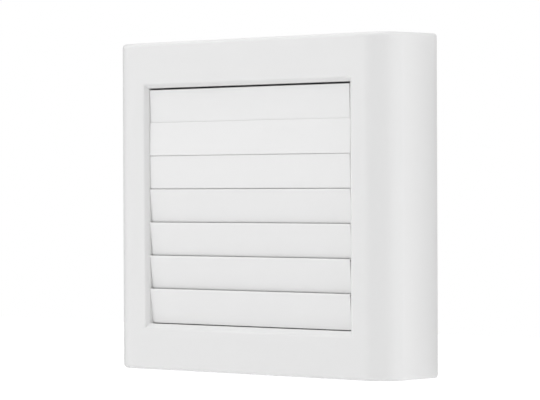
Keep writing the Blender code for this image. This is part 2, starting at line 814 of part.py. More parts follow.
def stator():
    """Laminated stator with six wound poles, round the bearing tube."""
    inner, outer, poles = 7.3 * MM, 15.4 * MM, 6
    made = ring("motor_stator", inner, 10 * MM, -11 * MM, -3 * MM, "copper_winding", 24)
    for index in range(poles):
        angle = 2 * math.pi * index / poles
        coil = box(f"coil_{index}", (8.5 * MM, -12 * MM, -2.4 * MM), (13.8 * MM, -2 * MM, 2.4 * MM))
        shoe_end = (outer - 0.4 * MM, -3.5 * MM, 3.6 * MM)
        shoe = box(f"shoe_{index}", (13 * MM, -10.5 * MM, -3.6 * MM), shoe_end)
        for piece in (coil, shoe):
            reach = piece.location.x
            piece.location = (reach * math.cos(angle), piece.location.y, reach * math.sin(angle))
            piece.rotation_euler = (0, -angle, 0)
            join(made, piece)


def impeller():
    """Hub cup with twisted blades. It turns about the Y axis."""
    cup_front, cup_back = -18.6 * MM, 1.5 * MM
    cup = turned(
        "fan_impeller",
        [
            (HUB_R, cup_back),
            (HUB_R, cup_front + 2.5 * MM),
            (HUB_R - 2.5 * MM, cup_front),
            (0, cup_front),
            (0, cup_front + 1.6 * MM),
            (HUB_R - 1.9 * MM, cup_front + 1.6 * MM),
            (HUB_R - 1.9 * MM, cup_back),
        ],
        "fan_black",
        32,
    )
    for index in range(FAN_BLADES):
        join(cup, fan_blade(index))


def fan_blade(index):
    """One blade: a flat grid, mapped to a twisted strip from the hub to the tip."""
    root_r, tip_r = HUB_R - 0.9 * MM, FAN_BORE_R - 1.5 * MM
    middle_y = -8.5 * MM

    def build(bm):
        bmesh.ops.create_grid(bm, x_segments=5, y_segments=4, size=1)
        for vert in bm.verts:
            span = (vert.co.x + 1) / 2
            along = vert.co.y
            radius = root_r + (tip_r - root_r) * span
            half_chord = (12 + 4 * span) * MM
            pitch = math.radians(42 - 16 * span)
            camber = 1.4 * MM * (1 - along * along)
            sideways = along * half_chord * math.cos(pitch) - camber * math.sin(pitch)
            forward = along * half_chord * math.sin(pitch) + camber * math.cos(pitch)
            angle = 2 * math.pi * index / FAN_BLADES + sideways / radius + 0.12 * span
            vert.co = (radius * math.cos(angle), middle_y + forward, radius * math.sin(angle))

    name = f"fan_blade_{index}"
    blade = add_object(name, mesh_from(name, build))
    skin = blade.modifiers.new("Skin", "SOLIDIFY")
    skin.thickness = 1.6 * MM
    skin.offset = 0
    return blade


def rotor_parts():
    cylinder("motor_shaft", 1.5 * MM, -16.7 * MM, 2.8 * MM, finish="steel", facets=20)
    turned(
        "rotor_cup",
        [
            (HUB_R - 2.2 * MM, 1 * MM),
            (HUB_R - 2.2 * MM, -16.2 * MM),
            (6 * MM, -16.2 * MM),
            (6 * MM, -15.2 * MM),
            (HUB_R - 3.4 * MM, -15.2 * MM),
            (HUB_R - 3.4 * MM, 1 * MM),
        ],
        "steel",
        32,
    )
    ring("magnet_ring", 16.2 * MM, HUB_R - 3.7 * MM, -14.6 * MM, 0.5 * MM, "component_black", 32)
    ring("fan_bearing_front", 1.8 * MM, 5.0 * MM, -13.6 * MM, -9.6 * MM, "steel", 20)
    ring("fan_bearing_rear", 1.8 * MM, 5.0 * MM, -1.2 * MM, 2.8 * MM, "steel", 20)


def regenerator_core():
    """Ceramic honeycomb: a cylinder with square channels from end to end."""
    core = cylinder("regenerator_core", CORE_R, CORE_FRONT, CORE_BACK, finish="ceramic", facets=ROUND)
    half = CORE_CHANNEL / 2
    wall = 1.2 * MM
    reach = int(CORE_R // CORE_PITCH)
    loops = []
    for column in range(-reach, reach + 1):
        for row in range(-reach, reach + 1):
            x, z = column * CORE_PITCH, row * CORE_PITCH
            corner = math.hypot(abs(x) + half, abs(z) + half)
            if corner < CORE_R - wall:
                loops.append(rectangle(x - half, z - half, x + half, z + half))
    through = CORE_BACK - CORE_FRONT + 4 * MM
    cut(core, slab("core_channels", loops, through, "Y", (CORE_FRONT + CORE_BACK) / 2))


# ---------------------------------------------------------------- wall plate and electronics


def wall_plate():
    """Back plate with the sleeve hole, wall slots, cable entry, gasket groove and board posts."""
    half = CASE_SIZE / 2 - CASE_WALL - 0.8 * MM
    slots = []
    for side, end in CORNERS:
        x, z = side * WALL_SLOT, end * WALL_SLOT
        slots.append(capsule((x - 3 * MM, z), (x + 3 * MM, z), 2.4 * MM))
    loops = [
        rounded_rectangle(half, half, 2 * MM),
        circle((0, 0), SLEEVE_R + 0.4 * MM, ROUND),
        rectangle(80 * MM, -86 * MM, 96 * MM, -74 * MM),
        *slots,
    ]
    plate = slab("wall_plate", loops, PLATE_T, "Y", -PLATE_T / 2, "frame_white")
    cut(plate, ring("gasket_groove", 74.5 * MM, 82.5 * MM, -1.2 * MM, MM))
    for index, at in enumerate(flange_fixings()):
        cut(plate, cylinder(f"plate_hole_{index}", 1.5 * MM, -PLATE_T - MM, MM, "Y", at, facets=12))
    post_front = BOARD_Y + BOARD_T / 2 + GAP
    for index, at in enumerate(BOARD_POSTS):
        join(plate, cylinder(f"board_post_{index}", 3 * MM, post_front, -PLATE_T / 2, "Y", at))
        low, high = post_front - MM, -2.5 * MM
        cut(plate, cylinder(f"board_pilot_{index}", 1.3 * MM, low, high, "Y", at, facets=12))
    for index, (side, end) in enumerate(CORNERS):
        x = side * 50 * MM
        root = (x - 10 * MM, -PLATE_T / 2, end * (half - 2 * MM))
        tip = (x + 10 * MM, -15 * MM, end * (half - 0.2 * MM))
        join(plate, box(f"plate_tongue_{index}", root, tip))


def control_board():
    loops = [rectangle(BOARD_X[0], BOARD_Z[0], BOARD_X[1], BOARD_Z[1])]
    loops += [circle(post, 1.7 * MM, 12) for post in BOARD_POSTS]
    slab("control_board", loops, BOARD_T, "Y", BOARD_Y, "board_green")
    for index, post in enumerate((BOARD_POSTS[0], BOARD_POSTS[3])):
        screw(f"board_screw_{index + 1}", post, BOARD_Y - BOARD_T / 2, 6 * MM, 2.8 * MM, 1.0 * MM)


def board_component(name, low, high, finish, bevel=0.6 * MM):
    """A block standing on the board's room side. Corners are (x, height, z)."""
    made = box(
        name,
        (low[0], BOARD_FACE - high[1], low[2]),
        (high[0], BOARD_FACE, high[2]),
        finish,
    )
    edge = made.modifiers.new("Edges", "BEVEL")
    edge.width = bevel
    edge.segments = 1
    return made


def electronics():
    control_board()
    black, white = "component_black", "frame_white"
    board_component("power_transformer", (20 * MM, 0, -99 * MM), (42 * MM, 17 * MM, -75 * MM), black, MM)
    board_component("fan_relay", (0, 0, -98 * MM), (15 * MM, 12 * MM, -86 * MM), black)
    top, place = BOARD_FACE - 17 * MM, (-14 * MM, -91 * MM)
    cylinder("power_capacitor", 5.5 * MM, top, BOARD_FACE, "Y", place, black, 24)
    header = board_component("fan_header", (-5 * MM, 0, -78 * MM), (5 * MM, 7 * MM, -71.5 * MM), white, 0.3 * MM)
    cut(header, box("header_socket", (-3.8 * MM, -20.5 * MM, -76.8 * MM), (3.8 * MM, -15 * MM, -72.7 * MM)))
    box("fan_plug", (-3.4 * MM, -24 * MM, -76.4 * MM), (3.4 * MM, -15.5 * MM, -73.1 * MM), white)
    terminal_block()
    louvre_connector()


def terminal_block():
    """Three-way screw terminal for the mains leads, with its guard."""
    x0, x1, z0, pitch, height = 46 * MM, 59 * MM, -98 * MM, 7.5 * MM, 13 * MM
    low, high = (x0, 0, z0), (x1, height, z0 + 3 * pitch)
    block = board_component("terminal_block", low, high, "terminal_green", 0.4 * MM)
    top = BOARD_FACE - height
    for index in range(3):
        z = z0 + pitch * (index + 0.5)
        at = (x0 + 4.5 * MM, z)
        screw_well = cylinder(f"terminal_well_{index}", 2.2 * MM, top - MM, top + 4 * MM, "Y", at, facets=12)
        wire_way = box(
            f"wire_way_{index}",
            (x1 - 6 * MM, BOARD_FACE - 6.5 * MM, z - 2.2 * MM),
            (x1 + MM, BOARD_FACE - 2.5 * MM, z + 2.2 * MM),
        )
        cut(block, screw_well, wire_way)

    def open_guard(bm):
        bmesh.ops.create_cube(bm, size=1)
        low = Vector((x0 - 2.2 * MM, BOARD_FACE - height - 4 * MM, z0 - 2 * MM))
        high = Vector((x1 + 2.2 * MM, BOARD_FACE - 0.2 * MM, z0 + 3 * pitch + 2 * MM))
        bmesh.ops.scale(bm, vec=high - low, verts=bm.verts)
        bmesh.ops.translate(bm, vec=(low + high) / 2, verts=bm.verts)
        bm.normal_update()
        open_faces = [f for f in bm.faces if f.normal.y > 0.9 or f.normal.x > 0.9]
        bmesh.ops.delete(bm, geom=open_faces, context="FACES")

    guard = add_object("terminal_guard", mesh_from("terminal_guard", open_guard), "frame_white")
    skin = guard.modifiers.new("Wall", "SOLIDIFY")
    skin.thickness = 1.2 * MM
    skin.offset = -1


def square_bar(name, x, half, front, back):
    """A square bar along Y at the connector's height."""
    return box(name, (x - half, front, PLUG_Z - half), (x + half, back, PLUG_Z + half))


def louvre_connector():
    """Blind-mate plug on the louvre frame and its socket on the board, for the actuator's supply."""
    height = 17.5 * MM
    mouth = BOARD_FACE - height
    low = (PLUG_X - 7 * MM, 0, PLUG_Z - 5 * MM)
    high = (PLUG_X + 7 * MM, height, PLUG_Z + 5 * MM)
    socket = board_component("louvre_socket", low, high, "frame_white", 0.5 * MM)
    front = (PLUG_X - 6 * MM, PLUG_FRONT, PLUG_Z - 4 * MM)
    back = (PLUG_X + 6 * MM, mouth - 0.8 * MM, PLUG_Z + 4 * MM)
    plug = box("louvre_plug", front, back, "component_black")
    for index, x in enumerate((PLUG_X - 3 * MM, PLUG_X + 3 * MM)):
        cut(socket, square_bar(f"socket_way_{index}", x, 1.6 * MM, mouth - MM, mouth + 8 * MM))
        join(plug, square_bar(f"plug_pin_{index}", x, 0.8 * MM, mouth - 2 * MM, mouth + 5 * MM))


def cables():
    behind_actuator = -33.8 * MM
    actuator_lead = [
        (-91 * MM, -36 * MM, -86 * MM),
        (-91 * MM, -34.8 * MM, -86 * MM),
        (-91 * MM, behind_actuator, -87.5 * MM),
        (-91 * MM, behind_actuator, -93 * MM),
        (-87 * MM, behind_actuator, -97 * MM),
        (-62 * MM, behind_actuator, -97 * MM),
        (PLUG_X - 11 * MM, -38 * MM, PLUG_Z),
        (PLUG_X - 6.3 * MM, -38 * MM, PLUG_Z),
    ]
    cable("actuator_lead", actuator_lead, CABLE_R, "cable_grey")
    bend = 0.8 * MM
    behind_fan = 7.7 * MM
    fan_lead = [
        (0, FAN_BACK + GAP, -12 * MM),
        (0, FAN_BACK + MM, -12 * MM),
        (0, behind_fan, -13.5 * MM),
        (0, behind_fan, CABLE_Z + bend),
        (0, behind_fan - bend, CABLE_Z),
        (0, CABLE_EXIT_Y + bend, CABLE_Z),
        (0, CABLE_EXIT_Y, CABLE_Z - bend),
        (0, CABLE_EXIT_Y, -72.8 * MM),
    ]
    cable("fan_cable", fan_lead, CABLE_R, "cable_grey")


# ---------------------------------------------------------------- assembly


def assemble():
    front_cover()
    louvres()
    link_top, link_bottom = link_bar()
    louvre_frame(link_top + SPRING_SPACE)
    actuator(link_bottom)
    return_spring(link_top, link_top + SPRING_SPACE)
    sleeve()
    duct_seal()
    filter_frame()
    filter_pads()
    fan_guard()
    fan_housing()
    stator()
    impeller()
    rotor_parts()
    regenerator_core()
    ring("core_foam_sleeve", CORE_R + GAP, BORE_R - GAP, CORE_FRONT, CORE_BACK, "foam_dark")
    grille("outdoor_grille", BORE_R - GAP, 76.7 * MM, SLEEVE_BACK, 7, 2 * MM, "sleeve_grey")
    ring("wall_gasket", 75 * MM, 82 * MM, -0.9 * MM, 0, "foam_dark")
    wall_plate()
    electronics()
    cables()


def centre_on_box():
    """Move everything along Y, so that the origin is midway between the front and the sleeve's end."""
    for obj in [*PARTS.objects, *CUTTERS.objects]:
        obj.location.y -= (SLEEVE_BACK - CASE_DEPTH) / 2


clear_scene()
PARTS = collection("heat_recovery_unit")
CUTTERS = collection("cutters")
assemble()
centre_on_box()
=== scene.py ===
"""The looks of the heat recovery unit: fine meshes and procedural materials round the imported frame.

The room is towards -Y, +Z is up, and every size is in metres.
"""

import json
import math

import bmesh
import bpy
from mathutils import Matrix, Vector


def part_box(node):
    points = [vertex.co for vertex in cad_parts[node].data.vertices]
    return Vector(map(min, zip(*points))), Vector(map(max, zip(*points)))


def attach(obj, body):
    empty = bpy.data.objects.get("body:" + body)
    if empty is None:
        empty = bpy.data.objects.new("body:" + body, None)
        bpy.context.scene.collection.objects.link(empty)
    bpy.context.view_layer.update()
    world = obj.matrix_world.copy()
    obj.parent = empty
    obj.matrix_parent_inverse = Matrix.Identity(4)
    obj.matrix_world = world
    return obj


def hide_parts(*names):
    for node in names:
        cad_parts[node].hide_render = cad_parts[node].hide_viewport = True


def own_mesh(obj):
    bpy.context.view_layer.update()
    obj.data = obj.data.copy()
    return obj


MM = 0.001

# Casing
CASE_TAPER = 1.5 * MM  # each side is this much narrower at the front
CASE_WALL = 2.2 * MM
CORNER_R = 18 * MM
EDGE_R = 2.5 * MM
OPENING_W = 158.9 * MM
OPENING_H = 156.7 * MM
BEZEL_W = 2.7 * MM
BEZEL_FOOT = 3.6 * MM  # the bezel is wider along the bottom
RIGHT_EASE = 0.7 * MM  # the bezel's throat reaches this much farther on the right
SILL_RISE = 0.3 * MM  # the bezel's lower side stands above the louvre frame's sill
BEZEL_DEPTH = 2.6 * MM
BEZEL_LAND = 3 * MM
BEZEL_SOFT = 0.7 * MM  # rounding of the bezel's outer edge, each way from the corner
BOSS_R = 3.5 * MM
PILOT_R = 1.6 * MM

# Louvre blades, measured from the pivot
BLADE_END_GAP = 0.72 * MM  # at the right end
CHEEK_GAP = 0.08 * MM  # at the left end, where the blades hang close to the frame
BLADE_T = 1.8 * MM
BLADE_FACE = -2.5 * MM
BLADE_TOP = 5.0 * MM
BLADE_FOOT = -17.9 * MM
BLADE_JOINT = 0.3 * MM
TIGHT_JOINT = 0.12 * MM  # under the upper blades, which close fully
TIGHT_BLADES = 2
TOP_TRIM = 0.2 * MM  # off the first blade's upper edge
BLADE_LAP = 1.1 * MM
LIP_T = 0.9 * MM
LIP_STEP = 0.5 * MM
TOP_SOFT = 0.3 * MM
LOW_SOFT = 0.2 * MM
END_SOFT = 0.1 * MM
CORNER_SOFT = 2.0 * MM  # rounded lower corners of the bottom blade
PIVOT_R = 1.25 * MM
ROD_END = OPENING_W / 2 + 2.8 * MM  # right end of the pivot rod, before any play
CRANK = 8 * MM
CRANK_R = 2.1 * MM
CRANK_T = 1.8 * MM
CRANK_PIN_R = 1.1 * MM
CRANK_BASE = math.radians(-41.5)  # crank's angle when its blade hangs upright
LAST_BLADE = 6

# Sleeve, fixings and spring
WALL_PLANE = -11 * MM
SLEEVE_R = 62.5 * MM
BORE_R = 60.5 * MM
FLANGE_R = 72 * MM
FLANGE_FIX_R = 67.5 * MM
FLANGE_HOLE_R = 1.8 * MM
PLATE_T = 3 * MM
CABLE_ENTRY = ((80 * MM, -86 * MM), (96 * MM, -74 * MM))  # opposite corners, as (x, z)
NOTCH_W = 4 * MM
NOTCH_START = 57.1 * MM  # the cable notch runs outwards from this radius to the next
NOTCH_END = 70 * MM
GASKET_W = 7 * MM
GRILLE_BARS = 7
SCREW_DRIVES = {
    # name: (how many, turn about Z from heading +Y, head's share of its radius, shank radius)
    "frame_screw": (4, 180, 0.7, 1.3 * MM),
    "flange_screw": (4, 0, 0.7, 1.2 * MM),
    "board_screw": (2, 0, 0.7, 1.0 * MM),
    "actuator_screw": (2, 90, 0.62, 1.0 * MM),
}
THREAD = 0.8 * MM
SPRING_WIRE = 0.35 * MM
SPRING_TURNS = 7

# Carried-over CAD nodes
WELD_DISTANCE = 0.005 * MM
SHALLOW_EDGE = math.radians(40)  # edges flatter than this are shaded smooth and stay unrounded

# Studio
AIM_DEPTH = 28.7 * MM  # the camera and the lamps aim this far in front of the casing's back
AMBIENT = 0.615  # light from level with the object
AMBIENT_SLOPE = 0.08  # how much brighter it is from the room side and darker from behind
FLOOR_SIZE = 12
FLOOR_DROP = 0.9

# Camera: angles in degrees, lens and sensor in millimetres
CAMERA_YAW = 34.81  # to the right of the front
CAMERA_PITCH = 0.474  # looking slightly down
CAMERA_ROLL = -0.23
CAMERA_DISTANCE = 1.4528
CAMERA_LENS = 147.83
CAMERA_SENSOR = 36
CAMERA_SHIFT_Y = 0.01107


# ---------------------------------------------------------------- mesh helpers


def link(obj):
    bpy.context.scene.collection.objects.link(obj)
    return obj


def new_object(name, build):
    """An object whose mesh is made by build(bmesh)."""
    bm = bmesh.new()
    build(bm)
    mesh = bpy.data.meshes.new(name)
    bm.to_mesh(mesh)
    bm.free()
    return link(bpy.data.objects.new(name, mesh))


def smooth(obj, angle=35):
    obj.data.shade_smooth()
    obj.data.set_sharp_from_angle(angle=math.radians(angle))
    return obj


def bake(obj, *cutters):
    """Apply the object's modifiers, then remove the cutters it used."""
    bpy.context.view_layer.update()
    graph = bpy.context.evaluated_depsgraph_get()
    mesh = bpy.data.meshes.new_from_object(obj.evaluated_get(graph))
    mesh.transform(obj.matrix_world)
    obj.modifiers.clear()
    obj.data = mesh
    obj.matrix_world = Matrix.Identity(4)
    for cutter in cutters:
        bpy.data.objects.remove(cutter)
    return obj


def boolean(target, other, operation):
    modifier = target.modifiers.new(operation.title(), "BOOLEAN")
    modifier.operation = operation
    modifier.object = other


def combine(target, joined=(), removed=()):
    for other in joined:
        boolean(target, other, "UNION")
    for other in removed:
        boolean(target, other, "DIFFERENCE")
    return bake(target, *joined, *removed)


def soften(obj, width, segments=2, angle=35):
    """Round the sharp edges and bake the result."""
    edge = obj.modifiers.new("Soft edges", "BEVEL")
    edge.width = width
    edge.segments = segments
    edge.limit_method = "ANGLE"
    edge.angle_limit = math.radians(angle)
    edge.use_clamp_overlap = True
    return bake(obj)


def round_edges(bm, edges, width, segments):
    bmesh.ops.bevel(
        bm,
        geom=edges,
        offset=width,
        offset_type="OFFSET",
        segments=segments,
        profile=0.5,
        affect="EDGES",
    )
    bm.normal_update()


def even_shading(obj):
    """Keep large flat faces flat next to small rounded edges."""
    smooth(obj, 50)
    normals = obj.modifiers.new("Even shading", "WEIGHTED_NORMAL")
    normals.keep_sharp = True
    normals.weight = 80
    return obj


def box(name, corner, opposite):
    low = Vector(map(min, corner, opposite))
    high = Vector(map(max, corner, opposite))

    def build(bm):
        bmesh.ops.create_cube(bm, size=1)
        bmesh.ops.scale(bm, vec=high - low, verts=bm.verts)
        bmesh.ops.translate(bm, vec=(low + high) / 2, verts=bm.verts)

    return new_object(name, build)


TURN = {
    "X": Matrix(((0, 0, 1), (1, 0, 0), (0, 1, 0))),
    "Y": Matrix(((1, 0, 0), (0, 0, 1), (0, -1, 0))),
}


def cylinder(name, radius, start, end, axis, at, facets=48):
    """A cylinder along a world axis, from start to end, at the two other coordinates."""

    def build(bm):
        bmesh.ops.create_cone(
            bm, cap_ends=True, segments=facets, radius1=radius, radius2=radius, depth=end - start
        )
        bmesh.ops.rotate(bm, cent=(0, 0, 0), matrix=TURN[axis], verts=bm.verts)
        middle = (start + end) / 2
        place = (middle, *at) if axis == "X" else (at[0], middle, at[1])
        bmesh.ops.translate(bm, vec=place, verts=bm.verts)

    return new_object(name, build)


def prism(name, outline, axis, start, end):
    """A closed outline made solid along an axis. Points are (y, z) for X and (x, z) for Y."""

    def place(point, along):
        return (along, *point) if axis == "X" else (point[0], along, point[1])

    def build(bm):
        first = [bm.verts.new(place(point, start)) for point in outline]
        face = bm.faces.new(first)
        grown = bmesh.ops.extrude_face_region(bm, geom=[face])
        moved = [item for item in grown["geom"] if isinstance(item, bmesh.types.BMVert)]
        bmesh.ops.translate(bm, vec=Vector(place((0, 0), end - start)), verts=moved)
        bmesh.ops.recalc_face_normals(bm, faces=bm.faces)

    return new_object(name, build)


def arc(centre, radius, start, end, steps):
    """Points from start to end, in degrees."""
    angles = [math.radians(start + (end - start) * i / steps) for i in range(steps + 1)]
    return [(centre[0] + radius * math.cos(a), centre[1] + radius * math.sin(a)) for a in angles]


def capsule(first, second, radius, steps=12):
    heading = math.degrees(math.atan2(second[1] - first[1], second[0] - first[0]))
    far = arc(second, radius, heading - 90, heading + 90, steps)
    return far + arc(first, radius, heading + 90, heading + 270, steps)


def lathe(name, profile, facets=128):
    """A closed profile of (radius, y) points turned about the Y axis."""

    def build(bm):
        rings = []
        for step in range(facets):
            angle = 2 * math.pi * step / facets
            turn = (math.cos(angle), math.sin(angle))
            rings.append([bm.verts.new((r * turn[0], y, r * turn[1])) for r, y in profile])
        for step, ring in enumerate(rings):
            after = rings[(step + 1) % facets]
            for i in range(len(profile)):
                j = (i + 1) % len(profile)
                bm.faces.new((ring[i], ring[j], after[j], after[i]))
        bmesh.ops.remove_doubles(bm, verts=bm.verts, dist=0.001 * MM)
        bmesh.ops.recalc_face_normals(bm, faces=bm.faces)

    return smooth(new_object(name, build))


def rounded(points, radius, steps=4):
    """The closed outline with each corner rounded by an arc of about this radius."""
    result = []
    count = len(points)
    for index, point in enumerate(points):
        here = Vector(point)
        before, after = Vector(points[index - 1]), Vector(points[(index + 1) % count])
        reach = min(radius, (before - here).length / 2.2, (after - here).length / 2.2)
        start = here + (before - here).normalized() * reach
        end = here + (after - here).normalized() * reach
        for step in range(steps + 1):
            t = step / steps
            result.append(tuple(start.lerp(here, t).lerp(here.lerp(end, t), t)))
    return result


# ---------------------------------------------------------------- materials


def start_material(name):
    made = bpy.data.materials.new(name)
    made.use_nodes = True
    return made, made.node_tree, made.node_tree.nodes["Principled BSDF"]


def noise(tree, scale, detail=3.0, stretch=None):
    """Noise in object space. Scale is in cells per metre."""
    place = tree.nodes.new("ShaderNodeTexCoord")
    texture = tree.nodes.new("ShaderNodeTexNoise")
    texture.inputs["Scale"].default_value = scale
    texture.inputs["Detail"].default_value = detail
    source = place.outputs["Object"]
    if stretch:
        mapping = tree.nodes.new("ShaderNodeMapping")
        mapping.inputs["Scale"].default_value = stretch
        tree.links.new(source, mapping.inputs["Vector"])
        source = mapping.outputs["Vector"]
    tree.links.new(source, texture.inputs["Vector"])
    return texture.outputs["Fac"]


def cells(tree, scale, feature="F1"):
    place = tree.nodes.new("ShaderNodeTexCoord")
    texture = tree.nodes.new("ShaderNodeTexVoronoi")
    texture.feature = feature
    texture.inputs["Scale"].default_value = scale
    tree.links.new(place.outputs["Object"], texture.inputs["Vector"])
    return texture.outputs["Distance"]


def ramp(tree, source, low, high):
    """Map a 0 to 1 value to a range."""
    node = tree.nodes.new("ShaderNodeMapRange")
    node.inputs["To Min"].default_value = low
    node.inputs["To Max"].default_value = high
    tree.links.new(source, node.inputs["Value"])
    return node.outputs["Result"]


def tint(tree, source, first, second):
    mix = tree.nodes.new("ShaderNodeMix")
    mix.data_type = "RGBA"
    mix.inputs["A"].default_value = (*first, 1)
    mix.inputs["B"].default_value = (*second, 1)
    tree.links.new(source, mix.inputs["Factor"])
    return mix.outputs["Result"]


def bump(tree, shader, source, strength, distance):
    node = tree.nodes.new("ShaderNodeBump")
    node.inputs["Strength"].default_value = strength
    node.inputs["Distance"].default_value = distance
    tree.links.new(source, node.inputs["Height"])
    tree.links.new(node.outputs["Normal"], shader.inputs["Normal"])


def shade(colour, factor):
    return tuple(channel * factor for channel in colour)


def plastic(name, colour, roughness, grain=0.12, specular=0.5, uneven=0.97, milky=0.0):
    """Moulded plastic: slight cloudiness of colour and gloss, and the fine texture of the mould."""
    made, tree, shader = start_material(name)
    cloud = noise(tree, 35)
    tree.links.new(tint(tree, cloud, shade(colour, uneven), colour), shader.inputs["Base Color"])
    gloss = ramp(tree, noise(tree, 260), roughness - 0.05, roughness + 0.05)
    tree.links.new(gloss, shader.inputs["Roughness"])
    shader.inputs["Specular IOR Level"].default_value = specular
    shader.inputs["Subsurface Weight"].default_value = milky
    shader.inputs["Subsurface Radius"].default_value = (1, 1, 1)
    shader.inputs["Subsurface Scale"].default_value = MM
    bump(tree, shader, noise(tree, 2600, 2.0), grain, 0.02 * MM)
    return made


def white_moulding(name, level, roughness, specular):
    """The white plastic seen in the room: fine-grained, even and slightly translucent."""
    grey = (level, level, level)
    return plastic(name, grey, roughness, grain=0.08, specular=specular, uneven=0.985, milky=0.6)


def metal(name, colour, roughness):
    made, tree, shader = start_material(name)
    streaks = noise(tree, 900, 4.0, (1.0, 0.12, 1.0))
    tree.links.new(tint(tree, streaks, shade(colour, 0.8), colour), shader.inputs["Base Color"])
    gloss = ramp(tree, streaks, roughness - 0.08, roughness + 0.12)
    tree.links.new(gloss, shader.inputs["Roughness"])
    shader.inputs["Metallic"].default_value = 1
    bump(tree, shader, streaks, 0.15, 0.02 * MM)
    return made


def fleece():
    """Matted fibres: soft tufts over a fine tangle of threads."""
    made, tree, shader = start_material("filter_fleece")
    fibres = noise(tree, 1500, 8.0, (1.0, 1.0, 0.35))
    colour = tint(tree, fibres, (0.62, 0.64, 0.66), (0.93, 0.94, 0.95))
    tree.links.new(colour, shader.inputs["Base Color"])
    shader.inputs["Roughness"].default_value = 0.95
    shader.inputs["Sheen Weight"].default_value = 0.3
    bump(tree, shader, fibres, 0.9, 0.4 * MM)
    return made


def foam():
    made, tree, shader = start_material("foam_dark")
    pores = cells(tree, 1400)
    # The pits of the pores are painted darker than their rims: painted shade in the pores, over the foam's own
    # dark grey.
    colour = tint(tree, pores, (0.02, 0.02, 0.022), (0.09, 0.09, 0.095))
    tree.links.new(colour, shader.inputs["Base Color"])
    shader.inputs["Roughness"].default_value = 0.95
    bump(tree, shader, pores, 0.8, 0.3 * MM)
    return made


def rubber():
    made, tree, shader = start_material("rubber_black")
    bloom = noise(tree, 120, 5.0)
    colour = tint(tree, bloom, (0.014, 0.014, 0.015), (0.035, 0.035, 0.036))
    tree.links.new(colour, shader.inputs["Base Color"])
    tree.links.new(ramp(tree, bloom, 0.55, 0.8), shader.inputs["Roughness"])
    bump(tree, shader, noise(tree, 3000, 3.0), 0.25, 0.03 * MM)
    return made


def ceramic():
    """Unglazed cordierite: cream, with iron specks and a chalky surface."""
    made, tree, shader = start_material("ceramic")
    grain = noise(tree, 900, 8.0)
    colour = tint(tree, grain, (0.6, 0.52, 0.42), (0.86, 0.81, 0.72))
    tree.links.new(colour, shader.inputs["Base Color"])
    shader.inputs["Roughness"].default_value = 0.9
    bump(tree, shader, grain, 0.5, 0.08 * MM)
    return made


def circuit_board():
    """Green solder resist with darker bare laminate between wide tracks."""
    made, tree, shader = start_material("board_green")
    tracks = cells(tree, 260, "DISTANCE_TO_EDGE")
    edge = tree.nodes.new("ShaderNodeMath")
    edge.operation = "GREATER_THAN"
    edge.inputs[1].default_value = 0.09
    tree.links.new(tracks, edge.inputs[0])
    line = edge.outputs["Value"]
    colour = tint(tree, line, (0.006, 0.07, 0.03), (0.015, 0.15, 0.06))
    tree.links.new(colour, shader.inputs["Base Color"])
    tree.links.new(ramp(tree, noise(tree, 300), 0.25, 0.4), shader.inputs["Roughness"])
    bump(tree, shader, line, 0.3, 0.03 * MM)
    return made


def windings():
    """Enamelled copper wire, wound in fine even turns, with painted shade in the grooves between them."""
    made, tree, shader = start_material("copper_winding")
    place = tree.nodes.new("ShaderNodeTexCoord")
    turns = tree.nodes.new("ShaderNodeTexWave")
    turns.bands_direction = "Y"
    turns.inputs["Scale"].default_value = 900
    tree.links.new(place.outputs["Object"], turns.inputs["Vector"])
    wire = turns.outputs["Fac"]
    # The bands are darker in the grooves between the turns and lighter on their crowns: painted shade, not a
    # change in the copper.
    colour = tint(tree, wire, (0.2, 0.06, 0.025), (0.6, 0.25, 0.1))
    tree.links.new(colour, shader.inputs["Base Color"])
    shader.inputs["Metallic"].default_value = 0.9
    shader.inputs["Roughness"].default_value = 0.35
    bump(tree, shader, wire, 0.7, 0.1 * MM)
    return made


def make_materials():
    return {
        "casing_white": white_moulding("casing_white", 0.8, 0.38, 0.45),
        "louvre_white": white_moulding("louvre_white", 0.845, 0.42, 0.4),
        "frame_white": plastic("frame_white", (0.78, 0.78, 0.775), 0.5, grain=0.2, specular=0.4),
        "sleeve_grey": plastic("sleeve_grey", (0.56, 0.57, 0.58), 0.5, grain=0.25, specular=0.4),
        "fan_black": plastic("fan_black", (0.03, 0.03, 0.033), 0.45, grain=0.25),
        "component_black": plastic("component_black", (0.025, 0.025, 0.026), 0.5, grain=0.4),
        "terminal_green": plastic("terminal_green", (0.03, 0.3, 0.1), 0.4, grain=0.15),
        "cable_grey": plastic("cable_grey", (0.2, 0.2, 0.205), 0.6, grain=0.3),
        "steel": metal("steel", (0.6, 0.6, 0.61), 0.3),
        "copper_winding": windings(),
        "ceramic": ceramic(),
        "foam_dark": foam(),
        "filter_fleece": fleece(),
        "rubber_black": rubber(),
        "board_green": circuit_board(),
    }


# ---------------------------------------------------------------- carried-over CAD nodes


def polish_group():
    """Geometry nodes that weld a facetted solid and shade it smooth across shallow angles."""
    group = bpy.data.node_groups.new("weld_and_smooth", "GeometryNodeTree")
    group.interface.new_socket("Geometry", in_out="INPUT", socket_type="NodeSocketGeometry")
    group.interface.new_socket("Geometry", in_out="OUTPUT", socket_type="NodeSocketGeometry")
    start = group.nodes.new("NodeGroupInput")
    end = group.nodes.new("NodeGroupOutput")
    angle = group.nodes.new("GeometryNodeInputMeshEdgeAngle")
    shallow = group.nodes.new("FunctionNodeCompare")
    shallow.operation = "LESS_THAN"
    shallow.inputs["B"].default_value = SHALLOW_EDGE
    faces = group.nodes.new("GeometryNodeSetShadeSmooth")
    edges = group.nodes.new("GeometryNodeSetShadeSmooth")
    edges.domain = "EDGE"
    group.links.new(start.outputs[0], faces.inputs["Geometry"])
    group.links.new(faces.outputs["Geometry"], edges.inputs["Geometry"])
    group.links.new(angle.outputs["Unsigned Angle"], shallow.inputs["A"])
    group.links.new(shallow.outputs["Result"], edges.inputs["Shade Smooth"])
    group.links.new(edges.outputs["Geometry"], end.inputs[0])
    return group


